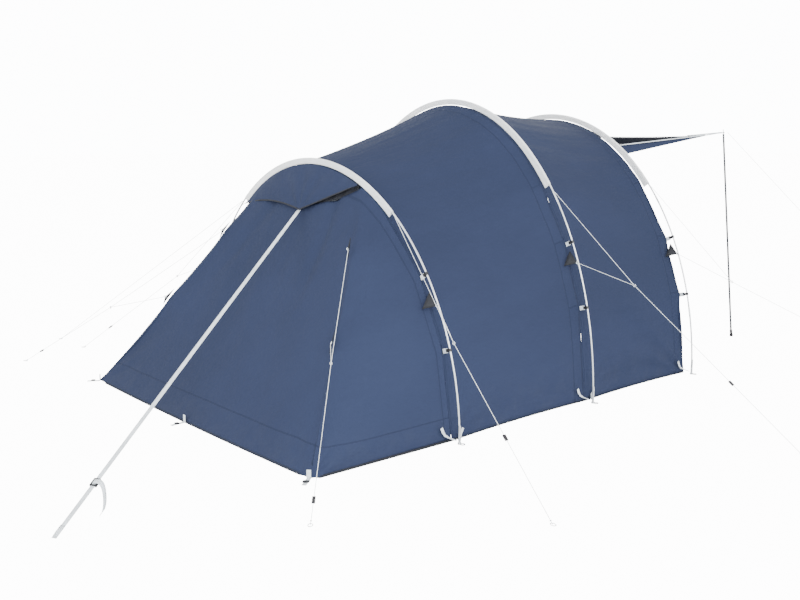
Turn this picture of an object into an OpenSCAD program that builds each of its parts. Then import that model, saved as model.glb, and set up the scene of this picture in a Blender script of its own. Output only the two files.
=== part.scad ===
// Tunnel tent: three arched hoops, a sleeping cabin behind, an open porch in front and a raised door
// canopy on two upright poles. +X is the tent's right side, +Y points out of the doorway, +Z is up.

/* [Hoops] */
// Half width of the rear hoop, to the centre of its pole
rear_w = 1377; // [1300:1:1450]
// Height of the rear hoop
rear_h = 1560; // [1500:1:1620]
// Half width of the middle hoop
mid_w = 1368; // [1300:1:1450]
// Height of the middle hoop
mid_h = 1950; // [1880:1:2020]
// Half width of the front hoop
front_w = 1381; // [1300:1:1450]
// Height of the front hoop
front_h = 1853; // [1790:1:1920]
// Place of the rear hoop along the tent
rear_y = -1330; // [-1360:1:-1300]
// Place of the middle hoop along the tent
mid_y = -116; // [-150:1:-80]
// Place of the front hoop along the tent
front_y = 1006; // [980:1:1030]
// Radius of a hoop pole
pole_r = 5.5; // [5:0.1:6]

/* [Flysheet] */
// How far the cloth hangs inside the pole at the top
inset_top = 32; // [28:1:45]
// How far the cloth stands inside the pole at the ground
inset_side = 62; // [55:1:70]
// Sag of the roof between two hoops
roof_sag = 24; // [15:1:40]
// Inward curve of the side walls between two hoops
side_sag = 22; // [10:1:30]
// Thickness of a cloth solid
cloth = 5; // [4:0.5:6]
// Height of the hem binding
hem_h = 27; // [22:1:32]
// Place of the rear hem along the tent
hem_y = -2285; // [-2310:1:-2260]
// Half width of the rear hem
hem_w = 1270; // [1240:1:1300]

/* [Cabin] */
// Gap between the flysheet and the inner tent
air_gap = 75; // [65:1:85]
// Half width of the inner door
door_w = 500; // [450:1:520]
// Height of the inner door
door_h = 1400; // [1300:1:1430]

/* [Canopy] */
// Half width of the canopy where it leaves the front hoop
canopy_in = 685; // [670:1:720]
// Half width of the canopy at its outer edge
canopy_out = 790; // [770:1:800]
// Half width between the canopy's zips, at the hoop and at the outer edge
zip_in = 605; // [595:1:615]
zip_out = 775; // [770:1:780]
// Height that the cloth drops to inside the front hoop before it runs out flat
chord_z = 1670; // [1660:1:1690]
// Length of the canopy from the hoop to its outer edge
canopy_len = 985; // [940:1:1000]
// Height of the top of a canopy pole
tip_z = 1715; // [1700:1:1725]
// Radius of a canopy pole
prop_r = 8; // [7:0.5:9]

/* [Lines] */
// Radius of a guy line
line_r = 2; // [1.8:0.1:2.2]
// Width of the rear strap
strap_w = 25; // [24:1:26]

/* [Hidden] */
arch_steps = 36;
navy = "#4a5a7a";
pale = "#d5dee2";

// Hoops as [half width, height, place along the tent], from the rear to the front.
hoops = [[rear_w, rear_h, rear_y], [mid_w, mid_h, mid_y], [front_w, front_h, front_y]];
// Half width at which each hoop's sleeve ends.
sleeve_end = [800, 960, 945];
// Heights of the two clips, and of the guy patch, on each side of each hoop.
clip_z = [[530, 940], [620, 1030], [580, 980]];
patch_z = [770, 900, 860];

// Upper end, ring and ground end of each guy line, on the right side.
corner_route = [[700, -1580, 1065], [1262, -2134, 581], [1730, -2610, 4]];
rear_route = [[834, -1339, 1243], [1545, -1545, 645], [2440, -1790, 4]];
middle_route = [[998, -110, 1342], [1670, -145, 810], [2750, -80, 4]];
front_route = [[969, 1012, 1328], [1420, 1420, 635], [2150, 2450, 4]];
canopy_route = [[836, 2240, 1713], [1990, 3470, 4]];
// The same on the left side, where two of the lines are pegged at other places.
corner_route_left = [[-700, -1580, 1065], [-1350, -2140, 500], [-2200, -2470, 4]];
rear_route_left = [[-834, -1339, 1243], [-1500, -1530, 645], [-2350, -1950, 4]];
storm_route_left = [[-838, -1340, 1243], [-2780, -1970, 4]];
// Lower ends of the bridles: the corner tab and the patch on each hoop.
corner_low = [958, -1892, 600];
// The hood's peak, the lower corners at its two ends, and how far its left edge bows up.
hood_peak = [30, -1455, 1240];
hood_right = [490, -1376, 1405];
hood_left = [-760, -1390, 1225];
hood_bow = 45;
// The strap from the hood's peak to the ground, and the buckle on it.
strap_route = [hood_peak, [1110, -3530, 4]];
buckle_at = 0.878;
tail_route = [
    [976, -3285, 161], [1002, -3271, 166], [1022, -3262, 150], [1024, -3256, 110], [1020, -3256, 60],
    [1012, -3262, 25], [1000, -3272, 4]
];

// Canopy pole: where its foot stands and where its tip holds the canopy.
foot_at = [900, 2380, 0];
tip_at = [810, 2220, tip_z];
canopy_y = front_y + 16;
canopy_z = 1466;

function lerp(a, b, t) = a + (b - a) * t;
function unit(v) = v / norm(v);
function flipx(p) = [-p[0], p[1], p[2]];
function flat(rows) = [for (r = rows) for (p = r) p];
function sum(v) = v * [for (x = v) 1];
function volume6(p, f) = sum([for (t = f) for (k = [1 : len(t) - 2]) p[t[0]] * cross(p[t[k]], p[t[k + 1]])]);
function turned(f) = [for (t = f) [for (k = [len(t) - 1 : -1 : 0]) t[k]]];
function quad(a, b, c, d) = [[a, b, c], [a, c, d]];

// Cloth hangs inside the pole: a hoop's cloth section is a smaller arch.
function cloth_w(i) = hoops[i][0] - inset_side;
function cloth_h(i) = hoops[i][1] - inset_top;
// A point at angle a of the arch w by h, standing at y, that starts at height low on both sides.
function foot_angle(h, low) = asin(low / h);
function arch_angle(h, low, k) = lerp(foot_angle(h, low), 180 - foot_angle(h, low), k / arch_steps);
function arch_point(w, h, y, a) = [w * cos(a), y, h * sin(a)];
function bulge(t) = 4 * t * (1 - t);
// The cloth of the bay between hoops i and i + 1, at t along it, g millimetres inside the outer face.
function bay_w(i, t, g) = lerp(cloth_w(i), cloth_w(i + 1), t) - side_sag * bulge(t) - g;
function bay_h(i, t, g) = lerp(cloth_h(i), cloth_h(i + 1), t) - roof_sag * bulge(t) - g;
function bay_row(i, t, y, g, low) = [
    for (k = [0 : arch_steps])
        arch_point(bay_w(i, t, g), bay_h(i, t, g), y, arch_angle(bay_h(i, t, g), low, k))
];
function bay_rows(i, y0, y1, g, low, n) = [
    for (j = [0 : n])
        let (y = lerp(y0, y1, j / n), t = (y - hoops[i][2]) / (hoops[i + 1][2] - hoops[i][2]))
        bay_row(i, t, y, g, low)
];
// The rear wall falls from the rear hoop to the hem; its corner seam starts at seam_x on the hoop.
seam_x = 520;
function hem_x(x, w, hw) =
    abs(x) < seam_x ? x / seam_x * hw : sign(x) * lerp(hw, hw + 18, (abs(x) - seam_x) / (w - seam_x));
function hem_back(x, w, y) =
    abs(x) < seam_x ? y - 20 * (1 - pow(x / seam_x, 2)) : lerp(y, y + 50, (abs(x) - seam_x) / (w - seam_x));
function belly(x) = abs(x) < seam_x ? 1 + 0.35 * (1 - pow(x / seam_x, 2)) : 1;
function wall_point(w, h, hw, y, a, v, low) =
    let (x = w * cos(a), z = h * sin(a))
    [
        lerp(x, hem_x(x, w, hw), v),
        lerp(rear_y - 8, hem_back(x, w, y), pow(v, belly(x))),
        lerp(z, low, v)
    ];
function vent_v(x) = max(0.012, abs(x) < seam_x ? 0.16 * (1 - pow(x / seam_x, 2)) : 0.012);

// A closed sheet between an outer and an inner grid of points.
module skin(outer, inner) {
    n = len(outer) - 1;
    m = len(outer[0]) - 1;
    half = (n + 1) * (m + 1);
    function at(i, j) = i * (m + 1) + j;
    faces = concat(
        [for (i = [0 : n - 1]) for (j = [0 : m - 1])
            each quad(at(i, j), at(i, j + 1), at(i + 1, j + 1), at(i + 1, j))],
        [for (i = [0 : n - 1]) for (j = [0 : m - 1])
            each quad(half + at(i, j), half + at(i + 1, j), half + at(i + 1, j + 1), half + at(i, j + 1))],
        [for (j = [0 : m - 1]) each quad(at(0, j + 1), at(0, j), half + at(0, j), half + at(0, j + 1))],
        [for (j = [0 : m - 1]) each quad(at(n, j), at(n, j + 1), half + at(n, j + 1), half + at(n, j))],
        [for (i = [0 : n - 1]) each quad(at(i, 0), at(i + 1, 0), half + at(i + 1, 0), half + at(i, 0))],
        [for (i = [0 : n - 1]) each quad(at(i + 1, m), at(i, m), half + at(i, m), half + at(i + 1, m))]
    );
    points = concat(flat(outer), flat(inner));
    closed(points, faces);
}

// A polyhedron whose faces are turned outward whichever way its points run.
module closed(points, faces) {
    polyhedron(points = points, faces = volume6(points, faces) > 0 ? turned(faces) : faces, convexity = 10);
}

// Sections joined one after another, with a flat cap at each end.
module loft(rings) {
    n = len(rings) - 1;
    m = len(rings[0]);
    faces = concat(
        [for (i = [0 : n - 1]) for (j = [0 : m - 1])
            each quad(i * m + j, i * m + (j + 1) % m, (i + 1) * m + (j + 1) % m, (i + 1) * m + j)],
        [[for (j = [m - 1 : -1 : 0]) j]],
        [[for (j = [0 : m - 1]) n * m + j]]
    );
    closed(flat(rings), faces);
}

// A ring of points of radius r about p, square to the direction d.
function ring(p, d, r, sides) =
    let (s = unit(cross(abs(d[2]) > 0.95 * norm(d) ? [0, 1, 0] : [0, 0, 1], d)), u = unit(cross(d, s)))
    [for (k = [0 : sides - 1]) p + r * cos(k * 360 / sides) * s + r * sin(k * 360 / sides) * u];
function heading(route, i) =
    unit((i > 0 ? unit(route[i] - route[i - 1]) : [0, 0, 0])
        + (i < len(route) - 1 ? unit(route[i + 1] - route[i]) : [0, 0, 0]));

// A round line through the points of a route.
module line(route, r = line_r, sides = 8) {
    loft([for (i = [0 : len(route) - 1]) ring(route[i], heading(route, i), r, sides)]);
}

// A flat strip of webbing from p to q, w wide along across and t thick.
module strip(p, q, across, w, t) {
    d = unit(q - p);
    s = unit(across - (across * d) * d);
    u = cross(d, s);
    box = [for (c = [[-1, -1], [1, -1], [1, 1], [-1, 1]]) c[0] * w / 2 * s + c[1] * t / 2 * u];
    loft([[for (b = box) p + b], [for (b = box) q + b]]);
}

// Stands children at the point where hoop i is z high on side s, with +X outward along the arch's
// normal and +Z up along the pole.
module on_hoop(i, s, z) {
    w = hoops[i][0];
    h = hoops[i][1];
    a = asin(z / h);
    lean = atan2(cos(a) * h, -sin(a) * w) - 90;
    mirror([s < 0 ? 1 : 0, 0, 0])
        translate([w * cos(a), hoops[i][2], z])
            rotate([0, -lean, 0])
                children();
}

module both_sides() {
    for (s = [0, 1])
        mirror([s, 0, 0])
            children();
}

// Points of hoop i's centreline between the half widths x on both sides, in n steps.
function hoop_points(i, a0, n) = [
    for (k = [0 : n]) arch_point(hoops[i][0], hoops[i][1], hoops[i][2], lerp(a0, 180 - a0, k / n))
];
module hoop_pole(i) {
    color("silver")
        line(hoop_points(i, asin(8 / hoops[i][1]), 48), pole_r, 12);
}

// A sleeve is one strip of cloth folded over the pole, with both edges sewn to the flysheet.
outer_fold = [
    [-2, -inset_top], [-7.5, -4], [-7.5, 3], [-4, 8], [4, 8], [7.5, 3], [7.5, -4], [2, -inset_top]
];
inner_fold = [
    [-0.8, -inset_top], [-6.5, -4], [-6.5, 2.5], [-3.5, 7], [3.5, 7], [6.5, 2.5], [6.5, -4], [0.8, -inset_top]
];
function sleeve_row(i, a, fold) = [
    for (f = fold)
        let (w = f[1] == -inset_top ? 1 - inset_side : f[1])
        arch_point(hoops[i][0] + w, hoops[i][1] + f[1], hoops[i][2] + f[0], a)
];
function sleeve_rows(i, fold) =
    let (a0 = acos(sleeve_end[i] / hoops[i][0]))
    [for (k = [0 : 24]) sleeve_row(i, lerp(a0, 180 - a0, k / 24), fold)];
module sleeve(i) {
    color(pale)
        skin(sleeve_rows(i, outer_fold), sleeve_rows(i, inner_fold));
}

module groundsheet() {
    color("#3c4048")
        linear_extrude(4)
            polygon([[-1170, hem_y + 60], [1170, hem_y + 60], [1225, rear_y], [1225, mid_y - 70], [-1225, mid_y - 70],
                [-1225, rear_y]]);
}

module bay(i, y0, y1) {
    color(navy)
        skin(bay_rows(i, y0, y1, 0, hem_h, 5), bay_rows(i, y0, y1, cloth, hem_h, 5));
}
module fly_cabin_bay() bay(0, rear_y - 4, mid_y - 1);
module fly_porch_bay() bay(1, mid_y + 1, front_y + 4);

function wall_rows(w, h, hw, y, v0, v1, low, n, g) = [
    for (j = [0 : n])
        [for (k = [0 : arch_steps])
            let (a = arch_angle(h, low, k), x = w * cos(a), top = v0 < 0 ? vent_v(x) : v0)
            wall_point(w, h, hw, y, a, lerp(top, v1, j / n), low) + [0, g, 0]]
];
module fly_rear_wall() {
    color(navy)
        skin(
            wall_rows(cloth_w(0), cloth_h(0), hem_w, hem_y, -1, 1, hem_h, 6, 0),
            wall_rows(cloth_w(0) - cloth, cloth_h(0) - cloth, hem_w - cloth, hem_y, -1, 1, hem_h, 6, cloth)
        );
}

// The mesh closes the crescent between the rear arch and the top edge of the wall.
function vent_rows(g) = [
    for (j = [0 : 3])
        [for (k = [0 : 18])
            let (a = lerp(70, 110, k / 18), w = cloth_w(0), x = w * cos(a))
            wall_point(w - g, cloth_h(0) - g, hem_w, hem_y, a, lerp(0.002, vent_v(x) - 0.004, j / 3), hem_h)
                + [0, 1 + g, 0]]
];
module rear_vent_mesh() {
    color("#1c2430")
        skin(vent_rows(0), vent_rows(2));
}

// The hood hangs from the rear arch over the vent, and the strap pulls its peak back and down. Its
// right edge is taut, and its left edge bows up.
function hood_low(x) =
    x > 0 ? lerp(hood_peak, hood_right, x / hood_right[0])
    : lerp(hood_peak, hood_left, x / hood_left[0]) + [0, 0, hood_bow * 4 * (x / hood_left[0]) * (1 - x / hood_left[0])];
function hood_rows(g) = [
    for (j = [0 : 3])
        [for (k = [0 : 18])
            let (x = lerp(hood_right[0], hood_left[0], k / 18), z = cloth_h(0) * sqrt(1 - pow(x / cloth_w(0), 2)))
            lerp([x, rear_y - 14, z - 2], hood_low(x), j / 3) + [0, -g, 0]]
];
module rear_hood() {
    color(navy)
        skin(hood_rows(4), hood_rows(0));
}

// Two side panels close the tunnel's end beside the doorway.
module front_wall() {
    w = cloth_w(2) - cloth - 2;
    h = cloth_h(2) - cloth - 2;
    color(navy)
        both_sides()
            translate([0, front_y - 9, 0])
                rotate([90, 0, 0])
                    linear_extrude(cloth)
                        polygon(concat(
                            [for (k = [0 : 14]) let (a = lerp(1, acos((canopy_in + 20) / w), k / 14)) [w * cos(a), h * sin(a)]],
                            [[900, 0], [w * cos(1), 0]]
                        ));
}

// The hem runs along the ground from the right of the doorway round the back to the left.
function side_line(i, g) = [for (j = [0 : 4]) [bay_w(i, j / 4, g), lerp(hoops[i][2], hoops[i + 1][2], j / 4)]];
function half_hem(g) = concat(
    [for (j = [4 : -1 : 0]) side_line(1, g)[j]],
    [for (j = [3 : -1 : 0]) side_line(0, g)[j]],
    [[hem_w + 18 - g, hem_y + 50 + g], [hem_w - g, hem_y + g], [hem_w * 0.6, hem_y - 13 + g], [0, hem_y - 20 + g]]
);
function whole_hem(g) =
    let (h = half_hem(g))
    concat(h, [for (j = [len(h) - 2 : -1 : 0]) [-h[j][0], h[j][1]]]);
module hem_binding() {
    color("#1d2433")
        skin(
            [for (p = whole_hem(0)) [[p[0], p[1], 0], [p[0], p[1], hem_h]]],
            [for (p = whole_hem(cloth)) [[p[0], p[1], 0], [p[0], p[1], hem_h]]]
        );
}

// Short metal tubes join the sections of each hoop.
module pole_ferrules() {
    color("#a9b0b5")
        for (i = [0 : 2])
            for (a = [14, 42, 70, 110, 138, 166])
                line([for (k = [-1, 1]) arch_point(hoops[i][0], hoops[i][1], hoops[i][2], a + k)], 6.3, 12);
}
module pole_feet() {
    color("#c9ced2")
        for (h = hoops)
            both_sides()
                translate([h[0], h[2], 0]) {
                    cylinder(h = 9, r = 11, $fn = 32);
                    translate([0, 0, 9])
                        cylinder(h = 100, r = 7.5, $fn = 32);
                }
}
// Each foot carries a flat ring on its inner side that takes a ground peg.
ring_x = 25;
module foot_rings() {
    color("#8f979c")
        for (h = hoops)
            both_sides()
                translate([h[0] + ring_x, h[2], 4])
                    difference() {
                        cylinder(h = 4, r = 15, $fn = 48);
                        translate([0, 0, -1])
                            cylinder(h = 6, r = 10, $fn = 48);
                    }
}
module foot_webbing() {
    color(pale)
        for (i = [0 : 2])
            both_sides()
                for (d = [-1, 1])
                    if (i < 2 || d < 0)
                        strip([cloth_w(i) + 3, hoops[i][2] + d * 80, 60], [hoops[i][0] - 12, hoops[i][2] + d * 9, 24],
                            [0, 0, 1], 20, 2);
}

// A clip is a hook of round section over the pole on a flat base.
module clip() {
    translate([-13, 0, 0])
        difference() {
            union() {
                translate([13, 0, -9])
                    cylinder(h = 18, r = 9.5, $fn = 32);
                translate([-12, -9, -9])
                    cube([18, 18, 18]);
            }
            translate([13, 0, -12])
                cylinder(h = 24, r = 6, $fn = 32);
            translate([-8, -6, -12])
                cube([5, 12, 24]);
        }
}
module pole_clips() {
    color("#15171a")
        for (i = [0 : 2])
            for (s = [-1, 1])
                for (z = clip_z[i])
                    on_hoop(i, s, z)
                        clip();
}
module clip_tabs() {
    color(pale)
        for (i = [0 : 2])
            for (s = [-1, 1])
                for (z = clip_z[i])
                    on_hoop(i, s, z)
                        translate([-58, -1, -14])
                            cube([32, 2, 28]);
}

// Triangles of cloth spread a guy line's pull; a loop on the point takes the line.
module patch(p, q, r) {
    loft([[p, q, r], [p + [0, 3, 0], q + [0, 3, 0], r + [0, 3, 0]]]);
}
module guy_patches() {
    color("#39465f")
        for (i = [0 : 2])
            both_sides()
                let (h = hoops[i], z = patch_z[i], x = h[0] * sqrt(1 - pow(z / h[1], 2)))
                patch([x - 54, h[2] - 72, z - 20], [x - 60, h[2] - 16, z + 72], [x + 6, h[2] - 14, z]);
    color("#39465f")
        both_sides() {
            patch([700, -1565, 1092], [730, -1590, 1030], [712, -1600, 1060]);
            patch([940, -1865, 640], [975, -1905, 575], [966, -1912, 600]);
        }
}

// Webbing tabs with a buckle and a tail peg the hem at the rear.
tab_at = [[1262, hem_y, 38], [0, hem_y - 20, 0], [-1262, hem_y, -38]];
module hem_tabs() {
    color(pale)
        for (t = tab_at)
            translate([t[0], t[1], 0])
                rotate([0, 0, t[2]])
                    translate([-12, -89, 3]) {
                        cube([24, 87, 3]);
                        translate([0, 87, 0])
                            cube([24, 3, 50]);
                    }
}
module hem_buckles() {
    color("#15171a")
        for (t = tab_at)
            translate([t[0], t[1], 0])
                rotate([0, 0, t[2]])
                    translate([0, -50, 6.2])
                        difference() {
                            translate([-17, -12, 0])
                                cube([34, 24, 5]);
                            translate([-13, -8, -1])
                                cube([26, 5, 7]);
                            translate([-13, 3, -1])
                                cube([26, 5, 7]);
                        }
}

// Inner tent.
cabin_front = mid_y - 60;
module inner_walls() {
    color("#8d98a8")
        skin(
            bay_rows(0, rear_y + 4, cabin_front - 6, air_gap, 12, 3),
            bay_rows(0, rear_y + 4, cabin_front - 6, air_gap + 4, 12, 3)
        );
}
module inner_rear_wall() {
    color("#8d98a8")
        skin(
            wall_rows(cloth_w(0) - air_gap, cloth_h(0) - air_gap, 1150, hem_y + 100, 0, 1, 12, 3, 8),
            wall_rows(cloth_w(0) - air_gap - 4, cloth_h(0) - air_gap - 4, 1146, hem_y + 100, 0, 1, 12, 3, 12)
        );
}
module door_shape(g) {
    r = 160;
    translate([-door_w + g, 110 + g])
        square([2 * (door_w - g), door_h - 110 - r - 2 * g]);
    translate([-door_w + r, 110 + g])
        square([2 * (door_w - r), door_h - 110 - 2 * g]);
    for (s = [-1, 1])
        translate([s * (door_w - r), door_h - r - g])
            circle(r = r - g, $fn = 64);
}
module inner_front_wall() {
    w = cloth_w(1) - air_gap - 30;
    h = cloth_h(1) - air_gap - 30;
    color("#9aa4b2")
        translate([0, cabin_front, 0])
            rotate([90, 0, 0])
                linear_extrude(4)
                    difference() {
                        polygon([for (k = [0 : arch_steps]) let (a = arch_angle(h, 12, k)) [w * cos(a), h * sin(a)]]);
                        door_shape(0);
                    }
}
module inner_door() {
    color("#7f8b9c")
        translate([0, cabin_front, 0])
            rotate([90, 0, 0])
                linear_extrude(4)
                    door_shape(4);
}

// Canopy: the door panel, raised on two poles.
function canopy_top(x) = cloth_h(2) * sqrt(1 - pow(x / cloth_w(2), 2)) - 6;
function canopy_point(u, v) =
    let (top = canopy_top(zip_in * u), flat = min(top, chord_z), far = tip_z - 25 - 15 * (1 - u * u))
    [
        lerp(zip_in, zip_out, v) * u,
        canopy_y + canopy_len * v - 60 * v * (1 - u * u),
        lerp(flat, far, v) + (top - flat) * pow(1 - v, 6)
    ];
// The side edge beyond the zip, on one side.
function canopy_side(s, v) =
    lerp([s * canopy_in, canopy_y, canopy_top(canopy_in)], [s * canopy_out, canopy_y + canopy_len, tip_z - 25], v);
function canopy_rows(g) = [
    for (v = [0, 0.08, 0.2, 0.45, 0.7, 1])
        [for (q = concat([canopy_side(1, v)], [for (k = [0 : 12]) canopy_point(lerp(1, -1, k / 12), v)], [canopy_side(-1, v)]))
            q - [0, 0, g]]
];
module canopy_panel() {
    color("#2b3550")
        skin(canopy_rows(0), canopy_rows(4));
}
// The zip's tape lies along the panel beside its edge, tilted with the cloth.
edge_from = canopy_point(1, 0) + [0, 0, 6];
edge_to = canopy_point(1, 1) + [0, 0, 3];
edge_across = [1, 0, -0.35];
module canopy_edge_tape() {
    color(pale)
        both_sides()
            strip(edge_from, edge_to, edge_across, 16, 3);
}
module eyelet(r, d) {
    translate([tip_at[0], tip_at[1], tip_at[2] - 6])
        difference() {
            translate([0, 0, 0])
                cylinder(h = 4, r = r, $fn = 48);
            translate([0, 0, -2])
                cylinder(h = 8, r = d, $fn = 48);
        }
}
module canopy_corner_webbing() {
    color(pale)
        both_sides() {
            eyelet(16, 6);
            strip(canopy_side(1, 1) + [4, 2, 3], tip_at + [-3, -15.5, -4], [1, 0, 0], 20, 3);
            strip(canopy_point(0.82, 1) + [0, 2, 1], tip_at + [-11, -10.5, -4], [1, 1, 0], 20, 3);
        }
}
// A canopy pole is a steel tube with a thin spike at its top.
prop_dir = unit(tip_at - foot_at);
module canopy_prop() {
    color("#5c6166") {
        line([foot_at + 30 * prop_dir, tip_at - 14 * prop_dir], prop_r, 16);
        line([tip_at - 14 * prop_dir, tip_at + 22 * prop_dir], 3, 12);
    }
}
module canopy_foot() {
    color("#15171a")
        translate([foot_at[0], foot_at[1], 0])
            difference() {
                union() {
                    cylinder(h = 18, r = 14, $fn = 48);
                    line([[0, 0, 14], 55 * prop_dir], 11.5, 24);
                }
                line([30 * prop_dir, 70 * prop_dir], prop_r, 16);
            }
}
module canopy_pole_right() canopy_prop();
module canopy_pole_left() mirror([1, 0, 0]) canopy_prop();
module canopy_foot_right() canopy_foot();
module canopy_foot_left() mirror([1, 0, 0]) canopy_foot();

// Zip slider: runs on top of the canopy's edge tape.
module zip_slider() {
    d = unit(edge_to - edge_from);
    color("#202225") {
        strip(edge_from + 45 * d + [0, 0, 5.4], edge_from + 65 * d + [0, 0, 5.4], edge_across, 10, 6);
        strip(edge_from + 65 * d + [0, 0, 6.4], edge_from + 95 * d + [0, 0, 6.4], edge_across, 6, 2);
    }
}
module zip_slider_right() zip_slider();
module zip_slider_left() mirror([1, 0, 0]) zip_slider();

// Guy lines: a bridle's upper leg and the main line are one cord, and its lower leg meets the ring.
module guy(route, low) {
    color("#c9cfcf") {
        line(route);
        line([low, route[1] + 7.5 * unit(low - route[1])]);
    }
}
function patch_tip(i) =
    [hoops[i][0] * sqrt(1 - pow(patch_z[i] / hoops[i][1], 2)) + 8, hoops[i][2] - 12.5, patch_z[i]];
module guy_corner_right() guy(corner_route, corner_low + [8, -24, 0]);
module guy_corner_left() guy(corner_route_left, flipx(corner_low + [8, -24, 0]));
module guy_rear_right() guy(rear_route, patch_tip(0));
module guy_rear_left() {
    guy(rear_route_left, flipx(patch_tip(0)));
    color("#c9cfcf")
        line(storm_route_left);
}
module guy_middle_right() guy(middle_route, patch_tip(1));
module guy_middle_left() mirror([1, 0, 0]) guy(middle_route, patch_tip(1));
module guy_front_right() guy(front_route, patch_tip(2));
module guy_front_left() mirror([1, 0, 0]) guy(front_route, patch_tip(2));
module guy_canopy_right() color("#c9cfcf") line(canopy_route);
module guy_canopy_left() mirror([1, 0, 0]) color("#c9cfcf") line(canopy_route);

// A tensioner is a small bar that the line passes through lengthways.
function along(a, b, t) = lerp(a, b, t);
module tensioner(a, b, t) {
    p = along(a, b, t);
    d = unit(b - a);
    color("#1a1c1f")
        translate(p)
            rotate([0, acos(d[2]), atan2(d[1], d[0])])
                difference() {
                    translate([-4.5, -8, -17])
                        cube([9, 16, 34]);
                    translate([0, 0, -20])
                        cylinder(h = 40, r = line_r + 0.6, $fn = 32);
                }
}
module tensioner_corner_right() tensioner(corner_route[1], corner_route[2], 0.86);
module tensioner_corner_left() tensioner(corner_route_left[1], corner_route_left[2], 0.8);
module tensioner_rear_right() tensioner(rear_route[1], rear_route[2], 0.56);
module tensioner_rear_left() tensioner(rear_route_left[1], rear_route_left[2], 0.7);
module tensioner_middle_right() tensioner(middle_route[1], middle_route[2], 0.6);
module tensioner_middle_left() mirror([1, 0, 0]) tensioner(middle_route[1], middle_route[2], 0.6);
module tensioner_front_right() tensioner(front_route[1], front_route[2], 0.6);
module tensioner_front_left() mirror([1, 0, 0]) tensioner(front_route[1], front_route[2], 0.6);
module tensioner_canopy_right() tensioner(canopy_route[0], canopy_route[1], 0.7);
module tensioner_canopy_left() mirror([1, 0, 0]) tensioner(canopy_route[0], canopy_route[1], 0.7);

ring_places = [
    corner_route[1], corner_route_left[1], rear_route[1], rear_route_left[1], middle_route[1],
    flipx(middle_route[1]), front_route[1], flipx(front_route[1])
];
module guy_rings() {
    color("#b4babd")
        for (p = ring_places)
            translate(p)
                rotate([90, 0, 0])
                    rotate_extrude($fn = 32)
                        translate([8, 0])
                            circle(r = 2, $fn = 16);
}

// Rear strap, its buckle and the loose tail below the buckle.
strap_dir = unit(strap_route[1] - strap_route[0]);
strap_side = unit(cross(strap_dir, [0, 0, 1]));
module rear_strap() {
    color(pale)
        strip(strap_route[0], strap_route[1], strap_side, strap_w, 2);
}
module strap_tail() {
    color(pale)
        for (i = [0 : len(tail_route) - 2])
            strip(tail_route[i], tail_route[i + 1], strap_dir, strap_w, 2);
}
module rear_buckle() {
    p = lerp(strap_route[0], strap_route[1], buckle_at);
    color("#121416")
        multmatrix([
            [strap_side[0], strap_dir[0], cross(strap_side, strap_dir)[0], p[0]],
            [strap_side[1], strap_dir[1], cross(strap_side, strap_dir)[1], p[1]],
            [strap_side[2], strap_dir[2], cross(strap_side, strap_dir)[2], p[2]],
            [0, 0, 0, 1]
        ])
            difference() {
                translate([-18, -22, -6])
                    cube([36, 44, 12]);
                translate([-13.5, -30, -2])
                    cube([27, 60, 4]);
                translate([-13.5, -15, -10])
                    cube([27, 11, 20]);
                translate([-13.5, 4, -10])
                    cube([27, 11, 20]);
            }
}

groundsheet();
fly_rear_wall();
fly_cabin_bay();
fly_porch_bay();
front_wall();
hem_binding();
rear_hood();
rear_vent_mesh();
sleeve(0);  // rear_sleeve
sleeve(1);  // middle_sleeve
sleeve(2);  // front_sleeve
hoop_pole(0);  // rear_hoop_pole
hoop_pole(1);  // middle_hoop_pole
hoop_pole(2);  // front_hoop_pole
pole_ferrules();
pole_feet();
foot_rings();
foot_webbing();
pole_clips();
clip_tabs();
guy_patches();
hem_tabs();
hem_buckles();
inner_walls();
inner_rear_wall();
inner_front_wall();
inner_door();
canopy_panel();
canopy_edge_tape();
canopy_corner_webbing();
canopy_pole_right();
canopy_pole_left();
canopy_foot_right();
canopy_foot_left();
zip_slider_right();
zip_slider_left();
guy_corner_right();
guy_corner_left();
guy_rear_right();
guy_rear_left();
guy_middle_right();
guy_middle_left();
guy_front_right();
guy_front_left();
guy_canopy_right();
guy_canopy_left();
tensioner_corner_right();
tensioner_corner_left();
tensioner_rear_right();
tensioner_rear_left();
tensioner_middle_right();
tensioner_middle_left();
tensioner_front_right();
tensioner_front_left();
tensioner_canopy_right();
tensioner_canopy_left();
guy_rings();
rear_strap();
strap_tail();
rear_buckle();
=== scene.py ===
"""Tunnel tent: cloth, hoops, webbing and lines, finished over the fixed frame."""

import math

import bmesh
import bpy
from mathutils import Matrix, Vector, noise


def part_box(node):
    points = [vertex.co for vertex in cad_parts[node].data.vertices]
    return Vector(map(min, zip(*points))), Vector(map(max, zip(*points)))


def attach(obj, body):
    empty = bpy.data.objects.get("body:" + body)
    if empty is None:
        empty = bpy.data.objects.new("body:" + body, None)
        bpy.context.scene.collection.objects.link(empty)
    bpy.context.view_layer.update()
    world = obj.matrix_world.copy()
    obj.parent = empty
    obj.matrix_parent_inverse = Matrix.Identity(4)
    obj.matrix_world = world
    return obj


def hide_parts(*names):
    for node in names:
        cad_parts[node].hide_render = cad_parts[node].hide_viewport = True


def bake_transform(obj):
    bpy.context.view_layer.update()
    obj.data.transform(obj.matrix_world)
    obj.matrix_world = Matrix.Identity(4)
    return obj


bl_info = {
    "name": "Tunnel Tent",
    "version": (1, 0, 0),
    "blender": (4, 5, 0),
    "location": "3D View > Sidebar > Tent",
    "description": "Builds the cloth, hoops, webbing and lines of a tunnel tent",
    "category": "Object",
}

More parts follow.
